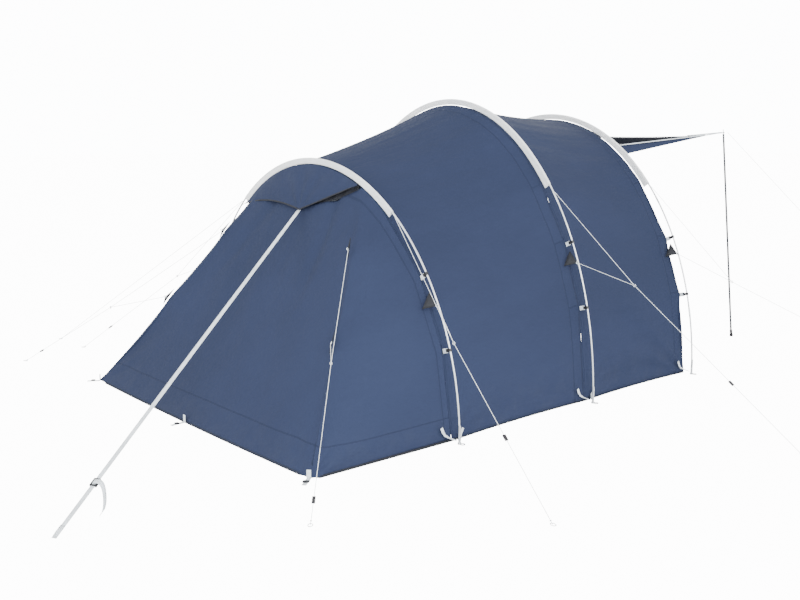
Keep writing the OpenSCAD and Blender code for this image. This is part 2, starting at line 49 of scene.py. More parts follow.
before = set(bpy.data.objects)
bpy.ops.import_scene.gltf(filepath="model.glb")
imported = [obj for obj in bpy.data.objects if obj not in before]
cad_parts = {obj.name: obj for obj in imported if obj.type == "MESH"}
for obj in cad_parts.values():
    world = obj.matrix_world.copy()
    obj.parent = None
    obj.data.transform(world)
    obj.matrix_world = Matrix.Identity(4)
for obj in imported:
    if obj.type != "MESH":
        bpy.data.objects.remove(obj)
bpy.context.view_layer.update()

POLE_R = 0.0055
LINE_R = 0.0015
FLY_THICK = 0.0016
INNER_THICK = 0.0012
WEBBING_THICK = 0.002
STRAP_WIDTH = 0.025
STRAP_THICK = 0.0018
ARCH_LEN = 4.0
EDGE_ANGLE = 0.017
CAMERA_LENS = 42.505
CAMERA_PLACE = (5.005, -4.912, 1.75)
CAMERA_TURN = (79.71, 0.13, 49.09)
SLEEVE_END = (0.800, 0.960, 0.945)
INSET_SIDE = 0.062
INSET_TOP = 0.032
CLIP_Z = ((0.530, 0.940), (0.620, 1.030), (0.580, 0.980))
PATCH_Z = (0.770, 0.900, 0.860)
HEM_Y = -2.285
HEM_W = 1.270
SEAM_X = 0.520
CANOPY_Y = 1.022
CANOPY_IN = 0.685
CANOPY_OUT = 0.790
CANOPY_LEN = 0.985
TIP = Vector((0.810, 2.220, 1.715))
ZIP_IN = 0.605
ZIP_OUT = 0.775
CHORD_Z = 1.670
HOOD_PEAK = Vector((0.030, -1.455, 1.240))
HOOD_RIGHT = Vector((0.490, -1.376, 1.405))
HOOD_LEFT = Vector((-0.760, -1.390, 1.225))
TAB_Z = (0.600, 1.065)
GUYS = {
    "guy_corner_right": [(0.700, -1.580, 1.065), (1.262, -2.134, 0.581), (1.730, -2.610, 0.004)],
    "guy_corner_left": [(-0.700, -1.580, 1.065), (-1.350, -2.140, 0.500), (-2.200, -2.470, 0.004)],
    "guy_rear_right": [(0.834, -1.339, 1.243), (1.545, -1.545, 0.645), (2.440, -1.790, 0.004)],
    "guy_rear_left": [(-0.834, -1.339, 1.243), (-1.500, -1.530, 0.645), (-2.350, -1.950, 0.004)],
    "guy_middle_right": [(0.998, -0.110, 1.342), (1.670, -0.145, 0.810), (2.750, -0.080, 0.004)],
    "guy_middle_left": [(-0.998, -0.110, 1.342), (-1.670, -0.145, 0.810), (-2.750, -0.080, 0.004)],
    "guy_front_right": [(0.969, 1.012, 1.328), (1.420, 1.420, 0.635), (2.150, 2.450, 0.004)],
    "guy_front_left": [(-0.969, 1.012, 1.328), (-1.420, 1.420, 0.635), (-2.150, 2.450, 0.004)],
    "guy_canopy_right": [(0.836, 2.240, 1.713), (1.990, 3.470, 0.004)],
    "guy_canopy_left": [(-0.836, 2.240, 1.713), (-1.990, 3.470, 0.004)],
}
STORM_LINE = [(-0.838, -1.340, 1.243), (-2.780, -1.970, 0.004)]
STRAP = [(0.030, -1.455, 1.240), (1.110, -3.530, 0.004)]
STRAP_TAIL = [
    (0.976, -3.285, 0.161), (1.002, -3.271, 0.166), (1.022, -3.262, 0.150), (1.024, -3.256, 0.110),
    (1.020, -3.256, 0.060), (1.012, -3.262, 0.025), (1.000, -3.272, 0.004),
]


def lerp(a, b, t):
    return a + (b - a) * t


def bulge(t):
    return 4 * t * (1 - t)


def smooth(x):
    x = min(max(x, 0.0), 1.0)
    return x * x * (3 - 2 * x)


def near(x, place, width):
    """1 at place, falling smoothly to 0 at width away from it."""
    return math.exp(-(((x - place) / width) ** 2))


def ripple(x, y, seed):
    """A soft random wave between -1 and 1, the same on each run."""
    return noise.noise(Vector((x, y, seed * 7.31)))


# The arches


class Hoop:
    """One arched pole, and the section of the flysheet that hangs inside it."""

    def __init__(self, node, number):
        low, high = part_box(node)
        self.w = high[0] - POLE_R
        self.h = high[2] - POLE_R
        self.y = (low[1] + high[1]) / 2
        self.sleeve_z = self.h * math.sqrt(1 - (SLEEVE_END[number] / self.w) ** 2)
        self.clips = CLIP_Z[number]
        self.patch = PATCH_Z[number]

    def pole(self, a, out=0.0):
        """The pole's centre at angle a of the arch, or a point that far outside it."""
        return Vector((self.w * math.cos(a), self.y, self.h * math.sin(a))) + self.normal(a) * out

    def angle(self, z, side):
        """The angle of the arch at height z on one side."""
        a = math.asin(z / self.h)
        return a if side > 0 else math.pi - a

    def normal(self, a):
        """The way straight out of the arch at angle a."""
        return Vector((math.cos(a) / self.w, 0, math.sin(a) / self.h)).normalized()

    def at_height(self, z, side):
        """The pole's centre z above the ground on one side."""
        return self.pole(self.angle(z, side))

    def cloth(self, a, inset=0.0, flats=1.0):
        """The flysheet's section at angle a: a smaller arch on top, and straight between the tabs."""
        w, h = self.w - INSET_SIDE - inset, self.h - INSET_TOP - inset
        x, z = w * math.cos(a), h * math.sin(a)
        levels = [0.0, *self.clips, self.sleeve_z]
        if z < self.sleeve_z and flats:
            for low, high in zip(levels, levels[1:]):
                if low <= z <= high:
                    ends = [w * math.sqrt(max(0.0, 1 - (q / h) ** 2)) for q in (low, high)]
                    straight = lerp(*ends, (z - low) / (high - low))
                    x = math.copysign(lerp(abs(x), straight, flats), x)
        return Vector((x, self.y, z))


REAR = Hoop("rear_hoop_pole", 0)
MIDDLE = Hoop("middle_hoop_pole", 1)
FRONT = Hoop("front_hoop_pole", 2)
HOOPS = (REAR, MIDDLE, FRONT)


def bay_point(back, front, s, t, inset=0.0, low=0.009):
    """A point of the cloth between two hoops: s round the arch from right to left, t along it."""
    a = lerp(low / back.h, math.pi - low / back.h, s)
    flats = (1 - bulge(t)) ** 2
    p = back.cloth(a, inset, flats).lerp(front.cloth(a, inset, flats), t)
    p.x *= 1 - 0.022 * bulge(t) / 1.3
    p.z *= 1 - 0.024 * bulge(t) / 1.8
    return p


def outward(p):
    """The way out of the arch at a point, near enough for cloth."""
    return Vector((p.x / 1.7, 0, p.z / 3.0)).normalized()


def hem_x(x, w, hem):
    if abs(x) < SEAM_X:
        return x / SEAM_X * hem
    return math.copysign(lerp(hem, hem + 0.018, (abs(x) - SEAM_X) / (w - SEAM_X)), x)


def wall_point(s, v, inset=0.0, hem=HEM_W, y=HEM_Y, low=0.009):
    """A point of the rear wall: s round the rear arch, v from the hoop down to the hem."""
    a = lerp(low / REAR.h, math.pi - low / REAR.h, s)
    top = REAR.cloth(a, inset, (1 - v) ** 2)
    x, w = top.x, REAR.w - INSET_SIDE - inset
    if abs(x) < SEAM_X:
        middle = 1 - (x / SEAM_X) ** 2
        back, belly = y - 0.020 * middle, 1 + 0.35 * middle
    else:
        back, belly = lerp(y, y + 0.050, (abs(x) - SEAM_X) / (w - SEAM_X)), 1.0
    return Vector((
        lerp(x, hem_x(x, w, hem), v),
        lerp(REAR.y - 0.004, back, v**belly),
        lerp(top.z, low, v),
    ))


def seam_sink(z):
    """How far the rear corner seam hangs in between the hoop, its two guy tabs and the hem."""
    sink = 0.028 * smooth(z / 0.35) * smooth((1.40 - z) / 0.25)
    return sink * (1 - 0.85 * sum(near(z, tab, 0.09) for tab in TAB_Z))


def corner_fan(along, up, reach=0.55):
    """Folds that fan out of a pegged corner, by the distance along the hem and up from the ground."""
    r, turn = math.hypot(along, up), math.atan2(up, along)
    spread = near(turn, 0.62, 0.42) * smooth(r / 0.10) * math.exp(-((r / reach) ** 2))
    return math.sin(turn * 15 + r * 2) * spread


def vent_edge(x):
    """How far down the wall the vent reaches at x."""
    return 0.16 * (1 - (x / SEAM_X) ** 2) if abs(x) < SEAM_X else 0.0


# Materials


class Wire:
    """A socket that Python's operators work on: each expression adds its Math nodes."""

    def __init__(self, nodes, socket):
        self.nodes = nodes
        self.socket = socket

    def _math(self, operation, *values):
        return self.nodes.add("ShaderNodeMath", {"operation": operation}, dict(enumerate(values)))

    def __add__(self, other):
        return self._math("ADD", self, other)

    def __radd__(self, other):
        return self._math("ADD", other, self)

    def __sub__(self, other):
        return self._math("SUBTRACT", self, other)

    def __rsub__(self, other):
        return self._math("SUBTRACT", other, self)

    def __mul__(self, other):
        return self._math("MULTIPLY", self, other)

    def __rmul__(self, other):
        return self._math("MULTIPLY", other, self)

    def __abs__(self):
        return self._math("ABSOLUTE", self)

    def most(self, other):
        return self._math("MAXIMUM", self, other)

    def sine(self):
        return self._math("SINE", self)

    def ramp(self, low, high, to_low=0.0, to_high=1.0):
        """The value carried smoothly from low..high to to_low..to_high."""
        return self.nodes.add(
            "ShaderNodeMapRange",
            {"interpolation_type": "SMOOTHSTEP"},
            {"Value": self, "From Min": low, "From Max": high, "To Min": to_low, "To Max": to_high},
        )

    def line(self, place, width):
        """1 where the value is at place, fading to 0 at width from it."""
        return abs(self - place).ramp(width, width * 0.35)


class Finish:
    """A node material made by expressions."""

    def __init__(self, name):
        self.material = bpy.data.materials.new(name)
        self.material.use_nodes = True
        self.tree = self.material.node_tree
        self.shader = self.tree.nodes["Principled BSDF"]

    def add(self, kind, settings=None, inputs=None, output=0):
        """One node: its settings first, then the values or links of its sockets."""
        node = self.tree.nodes.new(kind)
        for key, value in (settings or {}).items():
            setattr(node, key, value)
        for key, value in (inputs or {}).items():
            self.put(node.inputs[key], value)
        return Wire(self, node.outputs[output])

    def put(self, socket, value):
        if isinstance(value, Wire):
            self.tree.links.new(value.socket, socket)
        elif hasattr(socket.default_value, "__len__") and not hasattr(value, "__len__"):
            socket.default_value = [value] * len(socket.default_value)
        else:
            socket.default_value = value

    def uv(self):
        point = self.add("ShaderNodeUVMap", {"uv_map": "cloth"})
        split = self.add("ShaderNodeSeparateXYZ", None, {0: point})
        return split, Wire(self, split.socket.node.outputs[1])

    def place(self):
        """The point on the object, in metres."""
        return self.add("ShaderNodeTexCoord", None, None, "Object")

    def grain(self, scale, detail=3.0, rough=0.55, stretch=(1, 1, 1)):
        """Noise between 0 and 1, stretched along the axes."""
        point = self.add("ShaderNodeMapping", None, {"Vector": self.place(), "Scale": stretch})
        values = {"Vector": point, "Scale": scale, "Detail": detail, "Roughness": rough}
        return self.add("ShaderNodeTexNoise", None, values)

    def blend(self, factor, first, second):
        """One colour turning to another."""
        node = self.tree.nodes.new("ShaderNodeMix")
        node.data_type = "RGBA"
        for socket, value in ((node.inputs[0], factor), (node.inputs[6], first), (node.inputs[7], second)):
            self.put(socket, value)
        return Wire(self, node.outputs[2])

    def finish(self, colour, roughness, bumps=(), **fixed):
        """Joins the shader: bumps are pairs of a height and how deep it is in metres."""
        self.put(self.shader.inputs["Base Color"], colour)
        self.put(self.shader.inputs["Roughness"], roughness)
        normal = None
        for height, depth in bumps:
            inputs = {"Height": height, "Distance": depth, "Strength": 1.0}
            if normal:
                inputs["Normal"] = normal
            normal = self.add("ShaderNodeBump", None, inputs)
        if normal:
            self.put(self.shader.inputs["Normal"], normal)
        for key, value in fixed.items():
            self.put(self.shader.inputs[key.replace("_", " ")], value)
        return self.material


def shade(colour, amount):
    return (*[min(1.0, c * amount) for c in colour[:3]], 1.0)


def fly_finish(name, colour, seams=(), ties=(), low_line=None, gloss=0.05):
    """Coated cloth: faint threads, soft creases, taped seams, short stitched ties and dust near the ground.

    A seam is (place along the tent, width), and a tie is (from, to, height up the cloth)."""
    m = Finish(name)
    u, v = m.uv()
    weave = (u * 2600).sine() * (v * 2600).sine()
    cloudy = m.grain(1.1, 4, 0.6, (1, 0.5, 1))
    crease = m.grain(5, 5, 0.55, (1, 0.22, 1))
    fine = m.grain(38, 3, 0.6, (1, 0.3, 1))
    tone = m.blend(cloudy.ramp(0.3, 0.7), shade(colour, 0.92), shade(colour, 1.10))
    dust = v.ramp(0.30, 0.0) * m.grain(9, 5, 0.7).ramp(0.35, 0.75)
    tone = m.blend(dust * 0.10, tone, shade([c * 0.6 + 0.05 for c in colour[:3]], 1.0))
    seam_and_shade_lines = [u.line(place, width) for place, width in seams]
    seam_and_shade_lines += [v.line(height, 0.005) * (u.ramp(low - 0.004, low) * u.ramp(high + 0.004, high))
                 for low, high, height in ties]
    # One more darker line round the cloth at a given height, drawn like the seams.
    if low_line:
        seam_and_shade_lines.append(v.line(low_line, 0.006))
    bumps = [(crease, 0.016), (fine, 0.0014), (weave, 0.00006)]
    if seam_and_shade_lines:
        tape = seam_and_shade_lines[0]
        for run in seam_and_shade_lines[1:]:
            tape = tape.most(run)
        # The seam and tie lines are painted darker: partly the seams themselves, partly painted shade of the
        # folds beside the hoops.
        tone = m.blend(tape * 0.35, tone, shade(colour, 0.55))
        bumps.append((1 - tape, 0.0012))
    return m.finish(tone, cloudy.ramp(0.2, 0.8, 0.66, 0.80), bumps, Specular_IOR_Level=gloss)


def webbing_finish(name, colour, ribs=1250.0):
    """Flat woven webbing: ribs across it, with a worn, mottled tone."""
    m = Finish(name)
    u, v = m.uv()
    rib = (u * ribs + (v * ribs).sine()).sine()
    mottle = m.grain(14, 4, 0.6)
    tone = m.blend(mottle.ramp(0.3, 0.7), shade(colour, 0.86), shade(colour, 1.08))
    # The hollows between the ribs are painted darker: painted shade.
    tone = m.blend(rib.ramp(-1, -0.2, 0.35, 0.0), tone, shade(colour, 0.55))
    return m.finish(tone, 0.82, [(rib, 0.0004), (m.grain(60), 0.0006)], Sheen_Weight=0.2)


def cloth_finish(name, colour, thread=1500.0, depth=0.0002, creases=0.004, rough=0.8, sheen=0.15):
    """Plain woven cloth with soft creases."""
    m = Finish(name)
    u, v = m.uv()
    weave = (u * thread).sine() + (v * thread).sine()
    mottle = m.grain(5, 5, 0.6)
    tone = m.blend(mottle.ramp(0.3, 0.7), shade(colour, 0.88), shade(colour, 1.07))
    # Where the weave dips the colour is darker: painted shade in the hollows between threads.
    tone = m.blend(weave.ramp(-2, -0.5, 0.2, 0.0), tone, shade(colour, 0.6))
    bumps = [(mottle, creases), (m.grain(34), creases * 0.3), (weave, depth)]
    return m.finish(tone, rough, bumps, Sheen_Weight=sheen)


def mesh_finish(name, colour):
    """Mosquito mesh: rows of tiny holes."""
    m = Finish(name)
    u, v = m.uv()
    cell = (u * 3100).sine() * (v * 3100).sine()
    # The holes are painted darker than the threads: painted shade of the dark inside seen through them.
    tone = m.blend(cell.ramp(-0.2, 0.3), shade(colour, 0.35), shade(colour, 1.4))
    folds = m.grain(9, 3, 0.5, (1, 1, 0.15))
    return m.finish(tone, 0.9, [(folds, 0.03), (cell, 0.0004)])


def moulded_finish(name, colour, rough=0.5):
    """Moulded plastic or rubber: a fine grain, and paler scuffs."""
    m = Finish(name)
    scuff = m.grain(60, 6, 0.7).ramp(0.60, 0.75)
    tone = m.blend(scuff * 0.5, shade(colour, 1.0), shade([c + 0.05 for c in colour[:3]], 1.3))
    bumps = [(m.grain(900, 2), 0.00008), (scuff, 0.0001)]
    return m.finish(tone, scuff.ramp(0, 1, rough, rough + 0.25), bumps)


def metal_finish(name, colour, rough=0.35, metallic=1.0, streak=(1, 1, 0.05)):
    """Drawn tube: long fine streaks, small dull marks."""
    m = Finish(name)
    lines = m.grain(420, 3, 0.6, streak)
    marks = m.grain(26, 6, 0.7).ramp(0.58, 0.72)
    tone = m.blend(lines.ramp(0.3, 0.7), shade(colour, 0.85), shade(colour, 1.1))
    tone = m.blend(marks * 0.5, tone, shade(colour, 0.55))
    return m.finish(tone, marks.ramp(0, 1, rough, rough + 0.3), [(lines, 0.00008)], Metallic=metallic)


def pole_finish(name, colour):
    """Wrapped fibreglass: a pale gloss rod with fine fibres along it."""
    m = Finish(name)
    fibre = m.grain(260, 4, 0.6, (1, 1, 0.08))
    marks = m.grain(12, 5, 0.7).ramp(0.55, 0.75)
    tone = m.blend(fibre.ramp(0.3, 0.7), shade(colour, 0.86), shade(colour, 1.1))
    tone = m.blend(marks * 0.35, tone, shade(colour, 0.6))
    gloss = marks.ramp(0, 1, 0.28, 0.5)
    return m.finish(tone, gloss, [(fibre, 0.00015)], Metallic=0.55, Coat_Weight=0.35)


def cord_finish(name, colour):
    """Braided line: plaited strands with a dark tracer fleck."""
    m = Finish(name)
    strand = m.grain(520, 2, 0.5)
    fleck = m.grain(160, 1, 0.4).ramp(0.62, 0.68)
    tone = m.blend(strand.ramp(0.35, 0.65), shade(colour, 0.7), shade(colour, 1.08))
    tone = m.blend(fleck * 0.6, tone, shade(colour, 0.3))
    return m.finish(tone, 0.75, [(strand, 0.0006)], Sheen_Weight=0.2)


def floor_finish(name, colour):
    """A white studio sheet that mostly glows for the camera, so its shadows are faint."""
    m = Finish(name)
    tone = m.blend(m.grain(0.6, 2), shade(colour, 0.985), shade(colour, 1.0))
    m.finish(tone, 0.9)
    glow = m.add("ShaderNodeEmission", None, {"Color": (1.0, 1.0, 1.0, 1.0), "Strength": 20.0})
    share = m.add("ShaderNodeLightPath", None, None, "Is Camera Ray") * 0.65
    mixed = m.add("ShaderNodeMixShader", None, {0: share, 1: Wire(m, m.shader.outputs[0]), 2: glow})
    m.put(m.tree.nodes["Material Output"].inputs["Surface"], mixed)
    return m.material


FINISHES = {}


def tie_heights(hoop):
    """How far up the cloth each tab of a hoop is, as the bays measure it."""
    return [4 * math.asin(z / (hoop.h - INSET_TOP)) / math.pi for z in (*hoop.clips, hoop.sleeve_z)]


def make_finishes(c):
    """Every finish of the tent, by its name."""
    # The lines behind and just ahead of each hoop are drawn darker in the fly finishes, partly as painted
    # shade of the folds beside the poles.
    behind, ahead = 0.095, 0.012
    FINISHES.update(
        cabin=fly_finish(
            "fly cabin bay", c.fly,
            [(REAR.y + ahead, 0.006), (MIDDLE.y - behind, 0.007), (MIDDLE.y - ahead, 0.006)],
            [(MIDDLE.y - behind, MIDDLE.y - ahead, rise) for rise in tie_heights(MIDDLE)],
        ),
        porch=fly_finish(
            "fly porch bay", c.fly,
            [(MIDDLE.y + ahead, 0.006), (FRONT.y - behind, 0.007), (FRONT.y - ahead, 0.006)],
            [(FRONT.y - behind, FRONT.y - ahead, rise) for rise in tie_heights(FRONT)],
        ),
        rear=fly_finish("fly rear wall", c.fly, [(0.045, 0.006)], low_line=0.16),
        front=fly_finish("fly front wall", c.fly),
        hood=fly_finish("hood cloth", c.fly),
        hem=cloth_finish("hem tape", c.hem, 1300, 0.0003, 0.002, 0.85, 0.0),
        patch=cloth_finish("patch cloth", c.dark, 1500, 0.0002, 0.002, 0.7, 0.0),
        # The canopy cloth's very dark colour is painted shade of the raised panel's top, which the light
        # barely reaches.
        canopy=fly_finish("canopy cloth with painted shade", c.dark, gloss=0.02),
        sleeve=cloth_finish("sleeve cloth", c.sleeve, 1500, 0.0003, 0.004, 0.8),
        webbing=webbing_finish("webbing", c.webbing),
        inner=cloth_finish("inner tent cloth", c.inner, 1900, 0.0001, 0.008, 0.9),
        floor=cloth_finish("floor sheet", c.floor, 900, 0.0004, 0.004, 0.6),
        mesh=mesh_finish("vent mesh", c.hem),
        pole=pole_finish("hoop pole", c.pole),
        ferrule=metal_finish("ferrule metal", c.pole, 0.3),
        ring=metal_finish("ring metal", c.pole, 0.25),
        steel=metal_finish("canopy pole steel", c.steel, 0.42),
        plastic=moulded_finish("black plastic", c.plastic),
        rubber=moulded_finish("rubber", c.plastic, 0.8),
        line=cord_finish("guy line", c.line),
        zip=metal_finish("zip slider", c.plastic, 0.4, 0.6),
    )


# Making pieces


def piece(name, bm, finish, body="tent", stands_for=()):
    """Turns a bmesh into a finished object that rides on a body."""
    mesh = bpy.data.meshes.new(name)
    bm.to_mesh(mesh)
    bm.free()
    obj = bpy.data.objects.new(name, mesh)
    bpy.context.scene.collection.objects.link(obj)
    obj.data.materials.append(FINISHES[finish])
    obj.data.polygons.foreach_set("use_smooth", [True] * len(obj.data.polygons))
    if body:
        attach(obj, body)
    if stands_for:
        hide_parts(*stands_for)
    return obj


def sheet_mesh(across, along, place, metric):
    """A grid of cells laid over a surface: place(s, t) is its point. The UV is in metres of cloth."""
    bm = bmesh.new()
    bmesh.ops.create_grid(bm, x_segments=across, y_segments=along, size=0.5)
    flat = {v: (v.co.x + 0.5, v.co.y + 0.5) for v in bm.verts}
    layer = bm.loops.layers.uv.new("cloth")
    for v, (s, t) in flat.items():
        v.co = place(s, t)
    for face in bm.faces:
        for loop in face.loops:
            s, t = flat[loop.vert]
            loop[layer].uv = metric(s, t, loop.vert.co)
    return bm


def thicken(obj, thickness, offset=-1.0):
    """Gives a sheet its thickness."""
    wall = obj.modifiers.new("Thickness", "SOLIDIFY")
    wall.thickness = thickness
    wall.offset = offset
    return obj


def face_out(bm, towards=None):
    """Turns the faces so that most look away from the tent's middle line, or along a direction."""
    bm.normal_update()
    total = 0.0
    for f in bm.faces:
        c = f.calc_center_median()
        aim = towards if towards is not None else Vector((c.x, 0, c.z + 0.2))
        total += f.normal.dot(aim) * f.calc_area()
    if total < 0:
        bmesh.ops.reverse_faces(bm, faces=bm.faces)
    return bm


def ribbon(bm, points, across, width, steps=1):
    """A flat band along points, as quads with a metric UV."""
    layer = bm.loops.layers.uv.get("cloth") or bm.loops.layers.uv.new("cloth")
    points = [Vector(p) for p in points]
    run, rows = 0.0, []
    for i, p in enumerate(points):
        d = (points[min(i + 1, len(points) - 1)] - points[max(i - 1, 0)]).normalized()
        side = Vector(across[i] if isinstance(across, list) else across)
        side = (side - d * side.dot(d)).normalized()
        if i:
            run += (p - points[i - 1]).length
        rows.append((run, [bm.verts.new(p + side * width * (k / steps - 0.5)) for k in range(steps + 1)]))
    for (run_a, a), (run_b, b) in zip(rows, rows[1:]):
        for k in range(steps):
            f = bm.faces.new((a[k], a[k + 1], b[k + 1], b[k]))
            for loop, uv in zip(f.loops, ((run_a, k), (run_a, k + 1), (run_b, k + 1), (run_b, k))):
                loop[layer].uv = (uv[0], (uv[1] / steps - 0.5) * width)
    return bm


def map_cloth(bm, metric):
    """The cloth's UV from each corner's place."""
    layer = bm.loops.layers.uv.new("cloth")
    for face in bm.faces:
        for loop in face.loops:
            loop[layer].uv = metric(loop.vert.co)


# Stage


def make_stage():
    camera = bpy.data.objects.new("Camera", bpy.data.cameras.new("Camera"))
    camera.data.lens = CAMERA_LENS
    camera.data.sensor_width = 36.0
    camera.data.clip_end = 200.0
    camera.location = CAMERA_PLACE
    camera.rotation_euler = [math.radians(turn) for turn in CAMERA_TURN]
    bpy.context.scene.collection.objects.link(camera)
    bpy.context.scene.camera = camera

    bm = bmesh.new()
    bmesh.ops.create_grid(bm, x_segments=1, y_segments=1, size=60.0)
    mesh = bpy.data.meshes.new("floor")
    bm.to_mesh(mesh)
    bm.free()
    floor = bpy.data.objects.new("floor", mesh)
    floor.data.materials.append(floor_finish("pale floor", (0.80, 0.81, 0.82)))
    bpy.context.scene.collection.objects.link(floor)

    make_studio_world()
    for name, place, power, size in (
        ("key", (8.0, -5.0, 4.0), 1000, 5.0),
        ("fill", (-3.0, -9.0, 4.0), 260, 6.0),
        ("back", (-3.0, 8.0, 6.0), 200, 6.0),
    ):
        light = bpy.data.lights.new(name, "AREA")
        light.energy = power
        light.size = size
        lamp = bpy.data.objects.new(name, light)
        lamp.location = place
        lamp.rotation_euler = (Vector((0, 0, 0.6)) - Vector(place)).to_track_quat("-Z", "Y").to_euler()
        bpy.context.scene.collection.objects.link(lamp)


def make_studio_world():
    """A bright band round the horizon that dims towards the top, like big soft boxes before a white wall."""
    world = bpy.data.worlds.new("Studio")
    bpy.context.scene.world = world
    world.use_nodes = True
    nodes, links = world.node_tree.nodes, world.node_tree.links
    split = nodes.new("ShaderNodeSeparateXYZ")
    links.new(nodes.new("ShaderNodeTexCoord").outputs["Generated"], split.inputs[0])
    fade = nodes.new("ShaderNodeMapRange")
    fade.interpolation_type = "SMOOTHSTEP"
    for key, value in (("From Min", 0.10), ("From Max", 0.70), ("To Min", 3.2), ("To Max", 1.6)):
        fade.inputs[key].default_value = value
    links.new(split.outputs["Z"], fade.inputs["Value"])
    seen = nodes.new("ShaderNodeMix")
    seen.inputs[3].default_value = 14.0
    links.new(nodes.new("ShaderNodeLightPath").outputs["Is Camera Ray"], seen.inputs[0])
    links.new(fade.outputs["Result"], seen.inputs[2])
    back = nodes["Background"]
    back.inputs["Color"].default_value = (0.97, 0.985, 1.0, 1.0)
    links.new(seen.outputs[0], back.inputs["Strength"])


# Cords


def round_curve(name, points, radius, resolution):
    """A curve along points with a round section and capped ends."""
    data = bpy.data.curves.new(name, "CURVE")
    data.dimensions = "3D"
    spline = data.splines.new("POLY")
    spline.points.add(len(points) - 1)
    for target, p in zip(spline.points, points):
        target.co = (*p, 1.0)
    data.bevel_depth = radius
    data.bevel_resolution = resolution
    data.use_fill_caps = True
    return data


def length_of(points):
    return sum((b - a).length for a, b in zip(points, points[1:]))


def line_cord(name, points, node):
    """One straight-run guy line, in place of its CAD node."""
    obj = bpy.data.objects.new(name, round_curve(name, points, LINE_R, 3))
    bpy.context.scene.collection.objects.link(obj)
    obj.data.materials.append(FINISHES["line"])
    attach(obj, "tent")
    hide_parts(node)
    tuple(points[0])
    round(length_of(points), 2)


def ring_mesh(centre, axis, ring, tube, long=1.0, along=None, major=28, minor=8):
    """One closed ring, stretched by long along a direction."""
    bm = bmesh.new()
    upright = Matrix.Rotation(math.pi / 2, 4, "X")
    made = bmesh.ops.create_circle(bm, segments=minor, radius=tube, matrix=upright)
    bmesh.ops.translate(bm, verts=made["verts"], vec=(ring, 0, 0))
    bmesh.ops.spin(
        bm, geom=bm.verts[:] + bm.edges[:], cent=(0, 0, 0), axis=(0, 0, 1), angle=math.tau, steps=major,
        use_merge=True,
    )
    bmesh.ops.remove_doubles(bm, verts=bm.verts, dist=1e-6)
    bmesh.ops.recalc_face_normals(bm, faces=bm.faces)
    bmesh.ops.scale(bm, verts=bm.verts, vec=(long, 1, 1))
    z = Vector(axis).normalized()
    x = Vector(along) if along is not None else z.orthogonal()
    x = (x - z * x.dot(z)).normalized()
    y = z.cross(x)
    turn = Matrix((x, y, z)).transposed().to_4x4()
    bmesh.ops.transform(bm, matrix=Matrix.Translation(centre) @ turn, verts=bm.verts)
    return bm


def join(parts):
    """Several bmeshes as one."""
    whole = bmesh.new()
    for part in parts:
        mesh = bpy.data.meshes.new("part")
        part.to_mesh(mesh)
        part.free()
        whole.from_mesh(mesh)
        bpy.data.meshes.remove(mesh)
    return whole


def ground_loop(name, route):
    """The loop and knot that a line ends in, lying where a peg holds it."""
    end, before = Vector(route[-1]), Vector(route[-2])
    d = (before - end).normalized()
    level = Vector((d.x, d.y, 0)).normalized()
    loop = ring_mesh(end - level * 0.004 + Vector((0, 0, 0.001)), (0, 0, 1), 0.011, 0.0018, 1.5, level)
    knot = ring_mesh(end + d * 0.020, d, 0.0025, 0.0026, major=12)
    return piece(name, join([loop, knot]), "line")


def make_lines():
    """The guy lines with their bridle legs and loops, and the finish of their tensioners and rings."""
    for name, route in GUYS.items():
        route = [Vector(p) for p in route]
        loop = ground_loop(name + "_loop", route)
        line_cord(name + "_line", route, name)
        if len(route) == 3:
            side = 1 if route[0].x > 0 else -1
            if "corner" in name:
                low = Vector((side * 0.966, -1.916, 0.600))
            else:
                hoop = {"rear": REAR, "middle": MIDDLE, "front": FRONT}[name.split("_")[1]]
                p = hoop.at_height(hoop.patch, side)
                low = Vector((p.x + side * 0.008, hoop.y - 0.0125, hoop.patch))
            end = route[1] + (low - route[1]).normalized() * 0.0075
            line_cord(name + "_bridle", [low, end], name)
    storm = [Vector(p) for p in STORM_LINE]
    loop = ground_loop("guy_rear_left_storm_loop", storm)
    line_cord("guy_rear_left_storm_line", storm, "guy_rear_left")
    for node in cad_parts:
        if node.startswith("tensioner_"):
            paint(node, "plastic")
    paint("guy_rings", "ring")


def paint(node, finish):
    """Gives a CAD node its finish."""
    data = bpy.data.objects[node].data
    data.materials.clear()
    data.materials.append(FINISHES[finish])


def make_strap():
    """The broad rear strap, its loose tail and its buckle."""
    a, b = Vector(STRAP[0]), Vector(STRAP[1])
    d = (b - a).normalized()
    side = d.cross(Vector((0, 0, 1))).normalized()
    run = [a.lerp(b, k / 60) for k in range(61)]
    bm = ribbon(bmesh.new(), run, side, STRAP_WIDTH, 4)
    strap = piece("rear_strap_webbing", bm, "webbing", stands_for=["rear_strap"])
    thicken(strap, STRAP_THICK, 0.0)
    turned = [b, b - d * 0.03 + Vector((0, 0, 0.004)), b - d * 0.07 + Vector((0, 0, 0.003))]
    end = ribbon(bmesh.new(), turned, side, STRAP_WIDTH, 2)
    loop = thicken(piece("rear_strap_end_loop", end, "webbing"), STRAP_THICK, 0.0)
    [tuple(p) for p in run]
    points = [Vector(p) for p in STRAP_TAIL]
    fine = []
    for i in range(len(points) - 1):
        p0, p1 = points[max(i - 1, 0)], points[i]
        p2, p3 = points[i + 1], points[min(i + 2, len(points) - 1)]
        for k in range(6):
            t = k / 6
            fine.append(
                0.5 * ((2 * p1) + (p2 - p0) * t + (2 * p0 - 5 * p1 + 4 * p2 - p3) * t * t
                       + (3 * p1 - p0 - 3 * p2 + p3) * t**3)
            )
    fine.append(points[-1])
    bm = ribbon(bmesh.new(), fine, d, STRAP_WIDTH, 2)
    tail = piece("strap_tail_webbing", bm, "webbing", stands_for=["strap_tail"])
    thicken(tail, STRAP_THICK, 0.0)
    round(length_of(fine), 3)
    paint("rear_buckle", "plastic")


